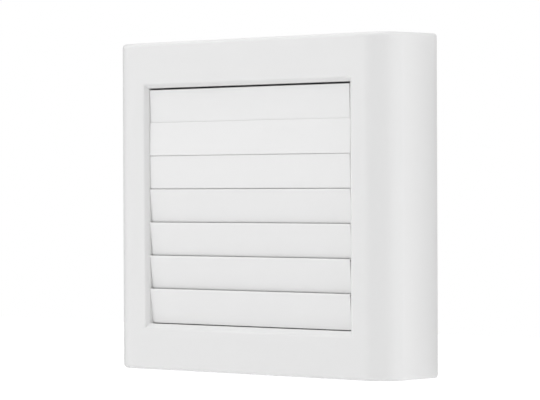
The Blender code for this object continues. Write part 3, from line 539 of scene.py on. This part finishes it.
EDGE_WIDTH = {
    # node: width of its rounded edges, in millimetres
    "louvre_frame": 0.1,
    "wall_plate": 0.4,
    "actuator_body": 0.2,
    "fan_housing": 0.4,
    "fan_guard": 0.3,
    "louvre_plug": 0.3,
    "louvre_socket": 0.3,
    "terminal_block": 0.25,
    "terminal_guard": 0.35,
    "control_board": 0.1,
    "link_bar": 0.25,
    "regenerator_core": 0.15,
    "rotor_cup": 0.3,
    "magnet_ring": 0.3,
    "motor_shaft": 0.2,
}


def polish(node, group):
    """Weld, round and smooth a CAD node through modifiers, which leave its own mesh as it is."""
    weld = node.modifiers.new("Weld", "WELD")
    weld.merge_threshold = WELD_DISTANCE
    width = EDGE_WIDTH.get(node.name, 0)
    if width:
        edge = node.modifiers.new("Soft edges", "BEVEL")
        edge.width = width * MM
        edge.segments = 2
        edge.limit_method = "ANGLE"
        edge.angle_limit = SHALLOW_EDGE
    shading = node.modifiers.new("Smooth", "NODES")
    shading.node_group = group


def paint(obj, material):
    obj.data.materials.clear()
    obj.data.materials.append(material)


def stand_for(obj, node, finish):
    """The fine piece takes the CAD node's place, body and finish."""
    paint(obj, MATERIALS[finish])
    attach(obj, NODE_BODY[node])
    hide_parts(node)


# ---------------------------------------------------------------- front cover


def casing_skin(low, high):
    """The casing's outer skin, open at the back, with all its outer edges rounded."""
    depth = high.y - low.y
    half = (high.x - low.x) / 2

    def build(bm):
        bmesh.ops.create_cube(bm, size=2 * half)
        for vert in bm.verts:
            is_front = vert.co.y < 0
            vert.co.y = low.y if is_front else high.y
            if is_front:
                vert.co.x *= 1 - CASE_TAPER / half
                vert.co.z *= 1 - CASE_TAPER / half
        upright = [
            e for e in bm.edges
            if all(v.co.y < low.y + depth / 2 for v in e.verts)
            and abs(e.verts[0].co.z - e.verts[1].co.z) > half
        ]
        round_edges(bm, upright, CORNER_R, 20)
        ends = [f for f in bm.faces if abs(f.normal.z) > 0.9]
        back = [f for f in bm.faces if f.normal.y > 0.9]
        rims = [e for f in ends for e in f.edges if not any(face in back for face in e.link_faces)]
        round_edges(bm, rims, EDGE_R, 6)
        bmesh.ops.delete(bm, geom=[f for f in bm.faces if f.normal.y > 0.9], context="FACES")

    return new_object("front_cover_shell", build)


def bezel_levels(front):
    """The opening's sides from front to back, as (share of the bezel's width, y).

    The bezel's outer edge is rounded.
    """
    throat = front + BEZEL_DEPTH
    soft = BEZEL_SOFT / BEZEL_W
    corner = Vector((1, front))
    start = corner + Vector((soft, 0))
    end = corner.lerp(Vector((0, throat)), soft)
    levels = [(start.x, front - MM), (start.x, front - 0.02 * MM)]
    for step in range(1, 9):
        t = step / 8
        levels.append(tuple(start.lerp(corner, t).lerp(corner.lerp(end, t), t)))
    return [*levels, (0, throat), (0, throat + 2 * MM)]


def opening_cutter(front):
    def build(bm):
        loops = []
        for share, y in bezel_levels(front):
            x = OPENING_W / 2 + share * BEZEL_W
            right = x + (1 - share) * RIGHT_EASE
            top = OPENING_H / 2 + share * BEZEL_W
            foot = SILL_RISE - OPENING_H / 2 - share * BEZEL_FOOT
            corners = ((-x, y, foot), (right, y, foot), (right, y, top), (-x, y, top))
            loops.append([bm.verts.new(corner) for corner in corners])
        bm.faces.new(loops[0])
        bm.faces.new(loops[-1])
        for first, second in zip(loops, loops[1:]):
            for i in range(4):
                j = (i + 1) % 4
                bm.faces.new((first[i], first[j], second[j], second[i]))
        bmesh.ops.recalc_face_normals(bm, faces=bm.faces)

    return new_object("opening_cutter", build)


def front_cover():
    low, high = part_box("front_cover")
    cover = casing_skin(low, high)
    wall = cover.modifiers.new("Wall", "SOLIDIFY")
    wall.thickness = CASE_WALL
    wall.offset = -1
    wall.use_even_offset = True
    bake(cover)
    frame_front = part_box("louvre_frame")[0].y
    half_w = OPENING_W / 2 + BEZEL_W + BEZEL_LAND
    half_h = OPENING_H / 2 + BEZEL_W + BEZEL_LAND
    land = box(
        "land", (-half_w, low.y + CASE_WALL / 2, -half_h), (half_w, frame_front - 0.05 * MM, half_h)
    )
    bosses, pilots = [], []
    for index in range(4):
        screw_low, screw_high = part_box(f"frame_screw_{index + 1}")
        centre = (screw_low + screw_high) / 2
        back = frame_front + 7.7 * MM
        at = (centre.x, centre.z)
        bosses.append(cylinder(f"boss_{index}", BOSS_R, low.y + MM, back, "Y", at))
        pilots.append(cylinder(f"pilot_{index}", PILOT_R, back - 8 * MM, back + MM, "Y", at, 24))
    combine(cover, [land, *bosses], [opening_cutter(low.y), *pilots])
    even_shading(cover)
    stand_for(cover, "front_cover", "casing_white")


# ---------------------------------------------------------------- louvre blades


def blade_outline(pitch, index):
    """Section as (y, z) from the pivot. The bottom blade's face runs down to its lower edge."""
    face, back = BLADE_FACE, BLADE_FACE + BLADE_T
    top = BLADE_TOP - (TOP_TRIM if index == 0 else 0)
    upper = [
        *arc((face + TOP_SOFT, top - TOP_SOFT), TOP_SOFT, 180, 90, 5),
        (face + LIP_T, top),
        (face + LIP_T, BLADE_TOP - 1.6 * MM),
        (back, BLADE_TOP - 2.4 * MM),
    ]
    if index == LAST_BLADE:
        low_edge = arc((face + TOP_SOFT, BLADE_FOOT + TOP_SOFT), TOP_SOFT, 270, 180, 6)
        return [*upper, (back, BLADE_FOOT), *low_edge]
    step = BLADE_TOP - pitch + (TIGHT_JOINT if index < TIGHT_BLADES else BLADE_JOINT)
    end = BLADE_TOP - pitch - BLADE_LAP
    lip_back = back + LIP_STEP
    return [
        *upper,
        (back, step + 2 * MM),
        (lip_back, step + MM),
        (lip_back, end),
        (lip_back - LIP_T, end),
        (lip_back - LIP_T, step + 0.3 * MM),
        *arc((face + LOW_SOFT, step + LOW_SOFT), LOW_SOFT, 270, 180, 4),
    ]


def low_corner(end, side):
    """Cutter that rounds a lower corner of the bottom blade. Side is -1 at its left end, or 1."""
    inner, level = end - side * CORNER_SOFT, BLADE_FOOT + CORNER_SOFT
    past, below = end + side * MM, BLADE_FOOT - MM
    sweep = arc((inner, level), CORNER_SOFT, 270, 270 + 90 * side, 8)
    outline = [*sweep, (past, level), (past, below), (inner, below)]
    return prism("low_corner", outline, "Y", BLADE_FACE - MM, BLADE_FACE + BLADE_T + MM)


def rest_tilt(node, pivot):
    """The blade's angle at rest, read from where its crank pin stands."""
    low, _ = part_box(node.name)
    tip = [v.co for v in node.data.vertices if v.co.x < low.x + 0.01 * MM]
    pin = sum(tip, Vector()) / len(tip)
    return math.atan2(pin.z - pivot.z, pin.y - pivot.y) - CRANK_BASE


def blade_piece(name, pitch, index, play, stud_end):
    """A blade about its pivot. Play is how far along the pivot it hangs to the right."""
    left = CHEEK_GAP - OPENING_W / 2 - play
    right = OPENING_W / 2 - BLADE_END_GAP
    blade = prism(name, blade_outline(pitch, index), "X", left, right)
    soften(blade, END_SOFT, 2, 60)
    pin = (CRANK * math.cos(CRANK_BASE), CRANK * math.sin(CRANK_BASE))
    crank_x = stud_end + 4.4 * MM
    crank_ends = (crank_x - CRANK_T / 2, crank_x + CRANK_T / 2)
    crank = prism("crank", capsule((0, 0), pin, CRANK_R), "X", *crank_ends)
    rod = cylinder("rod", PIVOT_R, crank_x, ROD_END, "X", (0, 0), 32)
    stud = cylinder("stud", CRANK_PIN_R, stud_end, crank_x, "X", pin, 32)
    corners = [low_corner(left, -1), low_corner(right, 1)] if index == LAST_BLADE else []
    combine(blade, [crank, rod, stud], corners)
    return even_shading(blade)


def louvres():
    pivots = {}
    for joint in frame["joints"]:
        if joint["name"].startswith("blade_"):
            pivots[joint["child"]] = Vector(joint["pos_m"])
    names = sorted(pivots)
    pitch = pivots[names[0]].z - pivots[names[1]].z
    for index, body in enumerate(names):
        node = frame["nodes"][f"louvre_{body}"]
        low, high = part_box(node.name)
        play = high.x - ROD_END
        blade = blade_piece(f"louvre_{body}_face", pitch, index, play, low.x - play)
        tilt = rest_tilt(node, pivots[body])
        blade.rotation_euler = (tilt, 0, 0)
        blade.location = (play, pivots[body].y, pivots[body].z)
        stand_for(blade, node.name, "louvre_white")


# ---------------------------------------------------------------- sleeve and filters


def radius_of(node):
    low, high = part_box(node)
    return (high.x - low.x) / 2


def duct_seal():
    """Two soft lips on a rubber band round the sleeve."""
    low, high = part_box("duct_seal")
    tip = radius_of("duct_seal")
    base = tip - 2.7 * MM
    band = base + 1.2 * MM
    profile = [(base, high.y), (band, high.y)]
    for root in (high.y - 3 * MM, high.y - 8 * MM):
        profile += [
            (band, root + 0.4 * MM),
            (tip, root - 0.4 * MM),
            (tip - 0.25 * MM, root - 0.75 * MM),
            (band, root - 0.6 * MM),
        ]
    profile += [(band, low.y), (base, low.y)]
    stand_for(lathe("duct_seal_lips", rounded(profile, 0.25 * MM, 2)), "duct_seal", "rubber_black")


def wall_gasket():
    low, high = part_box("wall_gasket")
    outer = radius_of("wall_gasket")
    inner = outer - GASKET_W
    profile = [(outer, high.y), (outer, low.y), (inner, low.y), (inner, high.y)]
    stand_for(lathe("wall_gasket_foam", rounded(profile, 0.3 * MM, 3)), "wall_gasket", "foam_dark")


def cable_notch(front, back):
    """Cutter for the fan cable's way out, at the bottom of the round parts."""
    half = NOTCH_W / 2
    return box("notch", (-half, front, -NOTCH_END), (half, back, -NOTCH_START))


def bar_across(angle, reach, half_width, front, back, level=0.0):
    """A bar with softened edges, right across a round part and turned by angle about Y."""
    bar = box("bar", (-reach, front, level - half_width), (reach, back, level + half_width))
    bar.rotation_euler = (0, math.radians(angle), 0)
    return soften(bar, 0.35 * MM, 3)


def duct_sleeve():
    """The sleeve's tube with its flange, screw holes and cable notch."""
    low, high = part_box("duct_sleeve")
    back = WALL_PLANE - PLATE_T - 0.3 * MM
    front = back - 2.3 * MM
    profile = [
        (SLEEVE_R, high.y),
        (SLEEVE_R, back),
        (FLANGE_R, back),
        (FLANGE_R, front),
        (SLEEVE_R, front),
        (SLEEVE_R, low.y),
        (BORE_R, low.y),
        (BORE_R, high.y),
    ]
    tube = lathe("duct_sleeve_tube", rounded(profile, 0.5 * MM, 3))
    holes = [
        cylinder("flange_hole", FLANGE_HOLE_R, front - MM, back + 0.9 * MM, "Y", at, 32)
        for at in arc((0, 0), FLANGE_FIX_R, 45, 315, 3)
    ]
    combine(tube, [], [cable_notch(low.y - MM, low.y + 4.8 * MM), *holes])
    stand_for(even_shading(tube), "duct_sleeve", "sleeve_grey")


def filter_frame():
    """Clip-on cap with a lip and three bars over the room-side filter."""
    low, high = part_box("filter_frame")
    inner, outer, mouth = SLEEVE_R + 0.6 * MM, SLEEVE_R + 2.4 * MM, 55 * MM
    profile = [
        (outer, high.y),
        (outer, low.y),
        (mouth, low.y),
        (mouth, low.y + 1.5 * MM),
        (inner, low.y + 1.5 * MM),
        (inner, high.y),
    ]
    cap = lathe("filter_frame_cap", rounded(profile, 0.7 * MM, 4))
    bars = [
        bar_across(60 * index, 57 * MM, 1.5 * MM, low.y + 0.2 * MM, low.y + 1.3 * MM)
        for index in range(3)
    ]
    combine(cap, bars, [cable_notch(high.y - 4 * MM, high.y + MM)])
    stand_for(even_shading(cap), "filter_frame", "frame_white")


def outdoor_grille():
    """A ring with level bars and one upright."""
    low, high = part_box("outdoor_grille")
    outer = radius_of("outdoor_grille")
    inner = outer - 2.5 * MM
    profile = [(outer, high.y), (outer, low.y), (inner, low.y), (inner, high.y)]
    ring = lathe("outdoor_grille_ring", rounded(profile, 0.4 * MM, 3))
    spacing = 2 * outer / (GRILLE_BARS + 1)
    middle = (inner + outer) / 2
    bars = [bar_across(90, middle, MM, low.y + 0.4 * MM, high.y - 0.4 * MM)]
    for index in range(GRILLE_BARS):
        level = spacing * (index + 1) - outer
        reach = math.sqrt(middle * middle - level * level)
        bars.append(bar_across(0, reach, MM, low.y + 0.2 * MM, high.y - 0.2 * MM, level))
    combine(ring, bars)
    stand_for(even_shading(ring), "outdoor_grille", "sleeve_grey")


def fleece_disc(node):
    """A pad of filter fleece: a slightly crowned disc with a soft, uneven surface."""
    low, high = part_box(node)
    radius = radius_of(node)
    middle, half = (low.y + high.y) / 2, (high.y - low.y) / 2

    def build(bm):
        bmesh.ops.create_uvsphere(bm, u_segments=128, v_segments=48, radius=1)
        bmesh.ops.rotate(bm, cent=(0, 0, 0), matrix=TURN["Y"], verts=bm.verts)
        for vert in bm.verts:
            across = math.hypot(vert.co.x, vert.co.z)
            side = vert.co.y
            angle = math.atan2(vert.co.z, vert.co.x)
            # superellipse section: flat in the middle, rounded at the rim
            reach = 1 - (1 - across) ** 2.6 if side else across
            thick = (1 - reach ** 14) ** 0.5 if reach < 1 else 0
            wander = 5 * math.sin(angle * 7)
            tuft = 0.06 * math.sin(reach * 61 + wander) * math.sin(angle * 31 + reach * 17)
            y = math.copysign(half * (0.86 + tuft) * thick, side) if side else 0
            out = radius * 0.995 * reach
            vert.co = (out * math.cos(angle), middle + y, out * math.sin(angle))

    pad = smooth(new_object(f"{node}_pad", build), 180)
    stand_for(pad, node, "filter_fleece")


# ---------------------------------------------------------------- small parts


def cross_head_screw(node, turn, head_share, shank_r):
    """A pan-head screw with a cross recess and a thread, in the place of a plain one."""
    low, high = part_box(node)
    head_r = (high.z - low.z) / 2
    length = max(high.x - low.x, high.y - low.y)
    top = -length / 2
    under = top + head_r * head_share
    root = shank_r * 0.75
    profile = [(0, -top), (root * 0.6, -top), (root, -top - shank_r)]
    for step in range(int((-top - shank_r - under) / THREAD)):
        crest = -top - shank_r - THREAD * (step + 0.5)
        profile += [(shank_r, crest), (root, crest - THREAD / 2)]
    head_h = under - top
    profile += [
        (root, under),
        (head_r, under),
        (head_r, under - 0.35 * head_h),
        (head_r * 0.92, top + 0.3 * head_h),
        (head_r * 0.65, top + 0.06 * head_h),
        (0, top),
    ]
    body = lathe(f"{node}_cross_head", profile, 32)
    slot_w, slot_l, deep = 0.14 * head_r, 0.55 * head_r, top + 0.5 * head_h
    slots = [
        box("slot", (-slot_l, top - MM, -slot_w), (slot_l, deep, slot_w)),
        box("slot", (-slot_w, top - MM, -slot_l), (slot_w, deep, slot_l)),
    ]
    combine(body, [], slots)
    smooth(body, 30)
    body.rotation_euler.z = math.radians(turn)
    body.location = (low + high) / 2
    stand_for(body, node, "steel")


def coil_height(turn):
    """Share of the spring's height after this many turns. Its end turns lie close together."""
    closed = 0.045
    if turn < 1:
        return closed * turn
    if turn > SPRING_TURNS - 1:
        return 1 - closed * (SPRING_TURNS - turn)
    return closed + (1 - 2 * closed) * (turn - 1) / (SPRING_TURNS - 2)


def return_spring():
    """A compression spring with closed ends."""
    low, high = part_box("return_spring")
    middle = (low + high) / 2
    radius = (high.x - low.x) / 2 - SPRING_WIRE
    foot, height = low.z + SPRING_WIRE, high.z - low.z - 2 * SPRING_WIRE
    around = 24
    curve = bpy.data.curves.new("coil", "CURVE")
    curve.dimensions = "3D"
    curve.bevel_depth = SPRING_WIRE
    curve.bevel_resolution = 3
    curve.use_fill_caps = True
    spline = curve.splines.new("POLY")
    spline.points.add(SPRING_TURNS * around)
    for step, point in enumerate(spline.points):
        angle = 2 * math.pi * step / around
        rise = foot + height * coil_height(step / around)
        x = middle.x + radius * math.cos(angle)
        y = middle.y + radius * math.sin(angle)
        point.co = (x, y, rise, 1)
    source = link(bpy.data.objects.new("coil", curve))
    bpy.context.view_layer.update()
    graph = bpy.context.evaluated_depsgraph_get()
    mesh = bpy.data.meshes.new_from_object(source.evaluated_get(graph))
    bpy.data.objects.remove(source)
    spring = link(bpy.data.objects.new("return_spring_coil", mesh))
    smooth(spring, 60)
    stand_for(spring, "return_spring", "steel")
    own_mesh(spring)


def power_capacitor():
    """An electrolytic can: a crimp near its foot and a rolled edge round its top."""
    low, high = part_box("power_capacitor")
    middle = (low + high) / 2
    radius = radius_of("power_capacitor")
    crimp = high.y - 2.4 * MM
    profile = [
        (0, high.y),
        (radius * 0.9, high.y),
        (radius, high.y - 0.5 * MM),
        (radius, crimp + 0.5 * MM),
        (radius * 0.92, crimp),
        (radius, crimp - 0.5 * MM),
        (radius, low.y + 0.7 * MM),
        (radius * 0.9, low.y),
        (radius * 0.78, low.y),
        (radius * 0.74, low.y + 0.3 * MM),
        (0, low.y + 0.3 * MM),
    ]
    can = lathe("power_capacitor_can", profile, 48)
    can.location = (middle.x, 0, middle.z)
    stand_for(can, "power_capacitor", "component_black")


def cable_membrane():
    """A slit rubber sheet that closes the wall plate's cable entry. It stands for no CAD node."""
    (left, foot), (right, top) = CABLE_ENTRY
    play, rim, slit = 0.05 * MM, 1.4 * MM, 0.15 * MM
    front, back = WALL_PLANE - PLATE_T + 0.2 * MM, WALL_PLANE - 0.2 * MM
    middle = Vector((left + right, front + back, foot + top)) / 2
    sheet = box(
        "cable_membrane", (left + play, front, foot + play), (right - play, back, top - play)
    )
    cuts = []
    for start, end in ((front - MM, middle.y - 0.4 * MM), (middle.y + 0.4 * MM, back + MM)):
        pocket = box("pocket", (left + rim, start, foot + rim), (right - rim, end, top - rim))
        cuts.append(soften(pocket, 0.3 * MM, 3))
    half_w, half_h = (right - left) / 2 - 2 * rim, (top - foot) / 2 - 2 * rim
    for reach_x, reach_z in ((half_w, slit), (slit, half_h)):
        reach = Vector((reach_x, PLATE_T, reach_z))
        cuts.append(box("slit", middle - reach, middle + reach))
    combine(sheet, [], cuts)
    even_shading(sheet)
    paint(sheet, MATERIALS["rubber_black"])
    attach(sheet, NODE_BODY["wall_plate"])


# ---------------------------------------------------------------- stage


def studio():
    """A white backdrop to the camera, and a dimmer, uneven ambient light on the object."""
    scene = bpy.context.scene
    scene.view_settings.view_transform = "Standard"
    world = bpy.data.worlds.new("studio")
    scene.world = world
    world.use_nodes = True
    tree = world.node_tree
    background = tree.nodes["Background"]
    background.inputs["Color"].default_value = (1, 1, 1, 1)
    place = tree.nodes.new("ShaderNodeTexCoord")
    axes = tree.nodes.new("ShaderNodeSeparateXYZ")
    tree.links.new(place.outputs["Generated"], axes.inputs["Vector"])
    level = tree.nodes.new("ShaderNodeMapRange")
    level.inputs["From Min"].default_value = -1
    level.inputs["To Min"].default_value = AMBIENT + AMBIENT_SLOPE
    level.inputs["To Max"].default_value = AMBIENT - AMBIENT_SLOPE
    tree.links.new(axes.outputs["Y"], level.inputs["Value"])
    seen = tree.nodes.new("ShaderNodeMix")
    seen.inputs["B"].default_value = 1.0
    rays = tree.nodes.new("ShaderNodeLightPath")
    tree.links.new(rays.outputs["Is Camera Ray"], seen.inputs["Factor"])
    tree.links.new(level.outputs["Result"], seen.inputs["A"])
    tree.links.new(seen.outputs["Result"], background.inputs["Strength"])


def floor(low):
    """A pale floor, well below the object, which hangs on a wall.

    The camera sees it as white as the backdrop.
    """

    def build(bm):
        bmesh.ops.create_grid(bm, x_segments=1, y_segments=1, size=FLOOR_SIZE)

    ground = new_object("floor", build)
    ground.location.z = low.z - FLOOR_DROP
    made, tree, shader = start_material("floor_white")
    colour = tint(tree, noise(tree, 4), (0.9, 0.9, 0.9), (0.93, 0.93, 0.93))
    tree.links.new(colour, shader.inputs["Base Color"])
    shader.inputs["Roughness"].default_value = 0.9
    shader.inputs["Emission Color"].default_value = (1, 1, 1, 1)
    rays = tree.nodes.new("ShaderNodeLightPath")
    glow = ramp(tree, rays.outputs["Is Camera Ray"], 0.1, 0.6)
    tree.links.new(glow, shader.inputs["Emission Strength"])
    ground.data.materials.append(made)


def flag(name, case, side, width, grey):
    """A card in the wall's plane, beside the casing. The camera doesn't see it.

    It keeps light from behind off that side of the casing, as the wall does, and a pale card
    returns some light from the front. Side is -1 or 1.
    """
    start, end = case.x + 0.3 * MM, case.x + width
    corners = ((start, -start), (end, -end), (end, end), (start, start))

    def build(bm):
        bm.faces.new([bm.verts.new((side * x, case.y, z)) for x, z in corners])

    card = new_object(name, build)
    card.visible_camera = False
    made, tree, shader = start_material(name)
    shades = [(grey * change,) * 3 for change in (0.98, 1.02)]
    tree.links.new(tint(tree, noise(tree, 20), *shades), shader.inputs["Base Color"])
    shader.inputs["Roughness"].default_value = 0.9
    card.data.materials.append(made)


def softbox(name, place, target, size, power):
    """An area lamp that faces the target. Size is (width, height) in metres, power is in watts."""
    data = bpy.data.lights.new(name, "AREA")
    data.shape = "RECTANGLE"
    data.size, data.size_y = size
    data.energy = power
    lamp = link(bpy.data.objects.new(name, data))
    lamp.location = place
    lamp.rotation_euler = (Vector(target) - Vector(place)).to_track_quat("-Z", "Y").to_euler()
    lamp.visible_camera = False


def lights(centre):
    """Soft light from the left front, the right and above, and a strip along the left corner."""
    softbox("left_softbox", (-1.25, -2.15, 0.5), centre, (1.2, 1.8), 12.8)
    softbox("edge_softbox", (-2.25, -1.0, 0.3), centre, (0.1, 1.8), 2.5)
    softbox("right_softbox", (1.5, 0.12, 0.2), centre, (1.3, 1.6), 7.6)
    softbox("top_softbox", (-0.3, -0.4, 2.1), centre, (1.6, 1.0), 15)


def camera(centre):
    yaw, pitch, roll = (math.radians(angle) for angle in (CAMERA_YAW, CAMERA_PITCH, CAMERA_ROLL))
    level = math.cos(pitch)
    forward = Vector((-math.sin(yaw) * level, math.cos(yaw) * level, -math.sin(pitch)))
    right = Vector((math.cos(yaw), math.sin(yaw), 0))
    up = right.cross(forward)
    data = bpy.data.cameras.new("camera")
    data.sensor_width = CAMERA_SENSOR
    data.lens = CAMERA_LENS
    data.shift_y = CAMERA_SHIFT_Y
    made = link(bpy.data.objects.new("camera", data))
    side = right * math.cos(roll) + up * math.sin(roll)
    top = up * math.cos(roll) - right * math.sin(roll)
    axes = Matrix((side, top, -forward)).transposed().to_4x4()
    made.matrix_world = Matrix.Translation(centre - forward * CAMERA_DISTANCE) @ axes
    bpy.context.scene.camera = made


# ---------------------------------------------------------------- build

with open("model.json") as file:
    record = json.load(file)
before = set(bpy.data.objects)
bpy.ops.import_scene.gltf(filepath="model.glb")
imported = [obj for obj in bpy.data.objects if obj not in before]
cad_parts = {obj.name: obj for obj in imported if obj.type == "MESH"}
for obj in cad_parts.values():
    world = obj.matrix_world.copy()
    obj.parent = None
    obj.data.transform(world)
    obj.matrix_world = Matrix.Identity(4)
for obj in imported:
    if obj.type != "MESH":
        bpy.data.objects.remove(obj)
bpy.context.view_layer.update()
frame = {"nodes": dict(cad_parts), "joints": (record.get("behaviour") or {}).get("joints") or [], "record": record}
NODE_BODY = {
    node: body for body, nodes in frame["record"]["behaviour"]["bodies"].items() for node in nodes
}
MATERIALS = make_materials()

smoothing = polish_group()
slots = {part["node"]: part["material_slot"] for part in frame["record"]["subparts"]}
for name, node in frame["nodes"].items():
    paint(node, MATERIALS[slots[name]])
    polish(node, smoothing)

front_cover()
louvres()
duct_seal()
wall_gasket()
duct_sleeve()
filter_frame()
outdoor_grille()
return_spring()
power_capacitor()
cable_membrane()
for kind, (count, *drive) in SCREW_DRIVES.items():
    for index in range(count):
        cross_head_screw(f"{kind}_{index + 1}", *drive)
fleece_disc("room_filter")
fleece_disc("outdoor_filter")

case_low, case_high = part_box("front_cover")
centre = Vector((0, case_high.y - AIM_DEPTH, 0))
studio()
floor(case_low)
flag("left_flag", case_high, -1, 300 * MM, 0.1)
flag("right_flag", case_high, 1, 60 * MM, 0.95)
lights(centre)
camera(centre)
